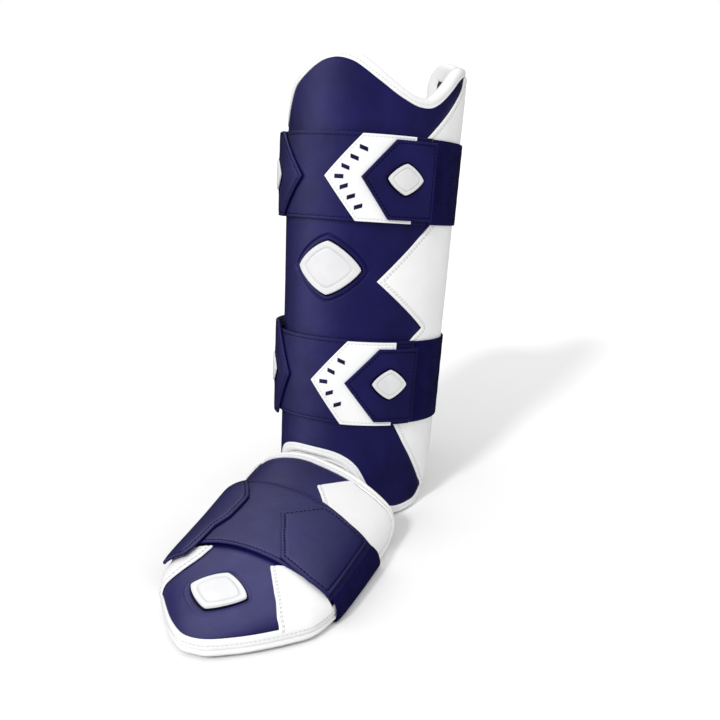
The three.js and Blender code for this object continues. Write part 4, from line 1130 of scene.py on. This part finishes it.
UNDER_REAR = table([[0, 136], [0.06, 133], [0.12, 129], [0.25, 122], [0.75, 98], [1, 103]])
UNDER_FRONT = table([[0, 213.5], [0.25, 211], [0.75, 203], [1, 206]])
corner = [(3.6, 1.9, 7.5, 7.5), (2.6, 1.0, 2.6, 4.2), (-1.2, -2.2, 0.4, 2.2), (-6, -6, 0.05, 1.8), (-30, -30, 0.05, 1.8)]
turn = [0.72, 0.78, 0.84, 0.9, 0.95, 1.0]
stations = [("u", u) for u in turn] + [(1, c) for c in corner] + [(0, None)] + [(-1, c) for c in corner[::-1]] + [("u", -u) for u in turn[::-1]]
jn = spans(85, 3.0)
layers = []
for l in (0, 1):
    G = []
    for i, (kind, val) in enumerate(stations):
        share = i / (len(stations) - 1)
        t = UNDER_REAR(share) + (UNDER_FRONT(share) - UNDER_REAR(share)) * jn
        if kind == "u":
            G.append(foot(np.full_like(t, val), t, 3.8 if l else 2.2))
        elif kind == 0:
            G.append(row(np.stack([FOOT_MID(t), -t, np.full_like(t, 0.05 if l else 1.8)], -1)))
        else:
            G.append(row(np.stack([FOOT_MID(t) + kind * (FOOT_HALF(t) + val[0 if l else 1]), -t, np.full_like(t, val[2 if l else 3])], -1)))
    G = np.array(G)
    if l == 0:
        inner_q = None
    layers.append(G)
mean = layers[1].mean(1)
sl = np.concatenate([[0], np.cumsum(np.linalg.norm(np.diff(mean, axis=0), axis=1))])
q = np.unique(np.concatenate([np.linspace(0, 1, 110), sl / sl[-1]]))


def refine_at(G, s, q):
    out = np.empty((len(q), G.shape[1], 3))
    for j in range(G.shape[1]):
        for k in range(3):
            out[:, j, k] = table(np.stack([s, G[:, j, k]], 1).tolist(), True)(q)
    return out


botg, topg = refine_at(layers[0], sl / sl[-1], q), refine_at(layers[1], sl / sl[-1], q)
s = two_layers("x", topg, botg, ELASTIC)
dd = distance(s.mid, edge_line(s.mid, "j"))
f = 0.15 + 0.85 * rounding(dd, 0.9)
mid = (topg + botg) / 2
s.top, s.bot = mid + (topg - mid) * f[..., None], mid + (botg - mid) * f[..., None]
piece(s.build("sole_elastic_web", ELASTIC), "elastic", "foot_elastic")

ang, up_ = np.linspace(-48.5, 28, 90), np.linspace(-0.51, 0.28, 90)
slit = np.clip((ang - 0) / 5, 0, 1) * np.clip((20 - ang) / 5, 0, 1)
lines = []
for k in (0.0, -1.4):
    tq, lowq = FOOT_BACK(up_), SHIN_BOTTOM(ang)
    over, under = shin(ang, lowq - 7.2, -0.6 + k), foot(up_, tq - 8.6, -0.6 + k)
    deep_over, deep_under = shin(ang, lowq - 7.2, -12.5 + k), foot(up_, tq - 8.6, -12.5 + k)
    mid_high, mid_low = 0.5 * (over + under), 0.5 * (deep_over + deep_under)
    lines.append(np.array([
        shin(ang, lowq + 14, -12.6 + k), shin(ang, lowq - 4.6, -13.2 + k), 0.74 * over + 0.26 * under - 0.0014 * unit(mid_high - mid_low),
        mid_high + (mid_low - mid_high) * (0.12 + 0.80 * slit[:, None]), 0.26 * over + 0.74 * under - 0.0014 * unit(mid_high - mid_low),
        foot(up_, tq + 1.5, -13.5 + k), foot(up_, tq + 16, -12 + k)]))
sg = np.array([0, 0.26, 0.43, 0.50, 0.57, 0.74, 1])
qg = np.unique(np.concatenate([np.linspace(0, 1, 70), np.linspace(0.40, 0.60, 26)]))
pleat = 0.0003 * np.sin(qg * 2 * np.pi * 7)[:, None] * np.clip(1 - np.abs(qg - 0.2) / 0.2, 0, 1)[:, None]
ga, gb = refine_at(lines[0], sg, qg), refine_at(lines[1], sg, qg)
nn = unit(ga - gb)
ga, gb = ga + nn * pleat[..., None], gb + nn * pleat[..., None]
s = two_layers("y", ga, gb, GUSSET)
gusset = s.build("ankle_gusset_cloth", GUSSET)
# faces down the middle of the slit take the black lining material: painted shade deep in the slit
gusset.data.materials.append(LINING)
qm, sm = 0.5 * (qg[1:] + qg[:-1]), 0.5 * (slit[1:] + slit[:-1])
for i, j in zip(*np.nonzero((np.abs(qm - 0.5) < 0.035)[:, None] & (sm > 0.35)[None, :])):
    gusset.data.polygons[int(i) * len(sm) + int(j)].material_index = 1
gus = piece(gusset, "white_panel", "ankle_gusset")

# ------------------------------------------------------------------ plain bars where the tabs are printed

for nm, rows, count, spread in (("upper", TAB_EDGES["upper_tab_backing"], 7, 24.0), ("lower", TAB_EDGES["lower_tab_backing"], 5, 19.0)):
    tabk = table(rows)
    wt = rows[1][0]
    V, F = [], []
    base = 0
    for k in range(count):
        dw = (k - (count - 1) / 2) / ((count - 1) / 2) * spread
        w0 = wt + dw
        # centre of the chevron's arm, bars across it
        slope = 0.57 * np.sign(dw) * min(1.0, abs(dw) / 6.0)
        a0 = float(tabk(w0)) + 8.4 + 1.3 * (abs(dw) < 3)
        hl, hw = 3.8, 1.75
        ca = np.cos(np.arctan(slope)); sa = np.sin(np.arctan(slope))
        x = np.array([-hl, -hl * 0.5, 0, hl * 0.5, hl])
        y = np.array([-hw, 0, hw])
        X, Y = np.meshgrid(x, y, indexing="ij")
        LA, LW = X * ca + Y * sa * 0.0, X * -sa * 0.0 + Y + X * slope * -0.55
        P = shin(a0 + LA / 1.35, w0 + LW, 6.62)
        Q = shin(a0 + LA / 1.35, w0 + LW, 6.0)
        ni, nj = X.shape
        idx = np.arange(ni * nj).reshape(ni, nj) + base
        quad = np.stack([idx[:-1, :-1], idx[1:, :-1], idx[1:, 1:], idx[:-1, 1:]], -1).reshape(-1, 4)
        rg = np.concatenate([idx[:-1, 0], idx[-1, :-1], idx[::-1, -1][:-1], idx[0, ::-1][:-1]])
        wall = np.stack([np.roll(rg, -1), rg, rg + ni * nj, np.roll(rg, -1) + ni * nj], -1)
        V += [P.reshape(-1, 3), Q.reshape(-1, 3)]
        F += [quad, quad[:, ::-1] + ni * nj, wall]
        base += 2 * ni * nj
    ob = add_mesh(nm + "_print_bars", np.concatenate(V), np.concatenate(F), [PRINT], None, np.zeros((base, 2)), False)
    ob.parent = bpy.data.objects[nm + "_chevron"]

tris = sum(sum(len(p.vertices) - 2 for p in o.data.polygons) for o in bpy.data.objects
           if o.type == "MESH" and "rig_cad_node" not in o)
print("triangles in the visual pieces:", tris)
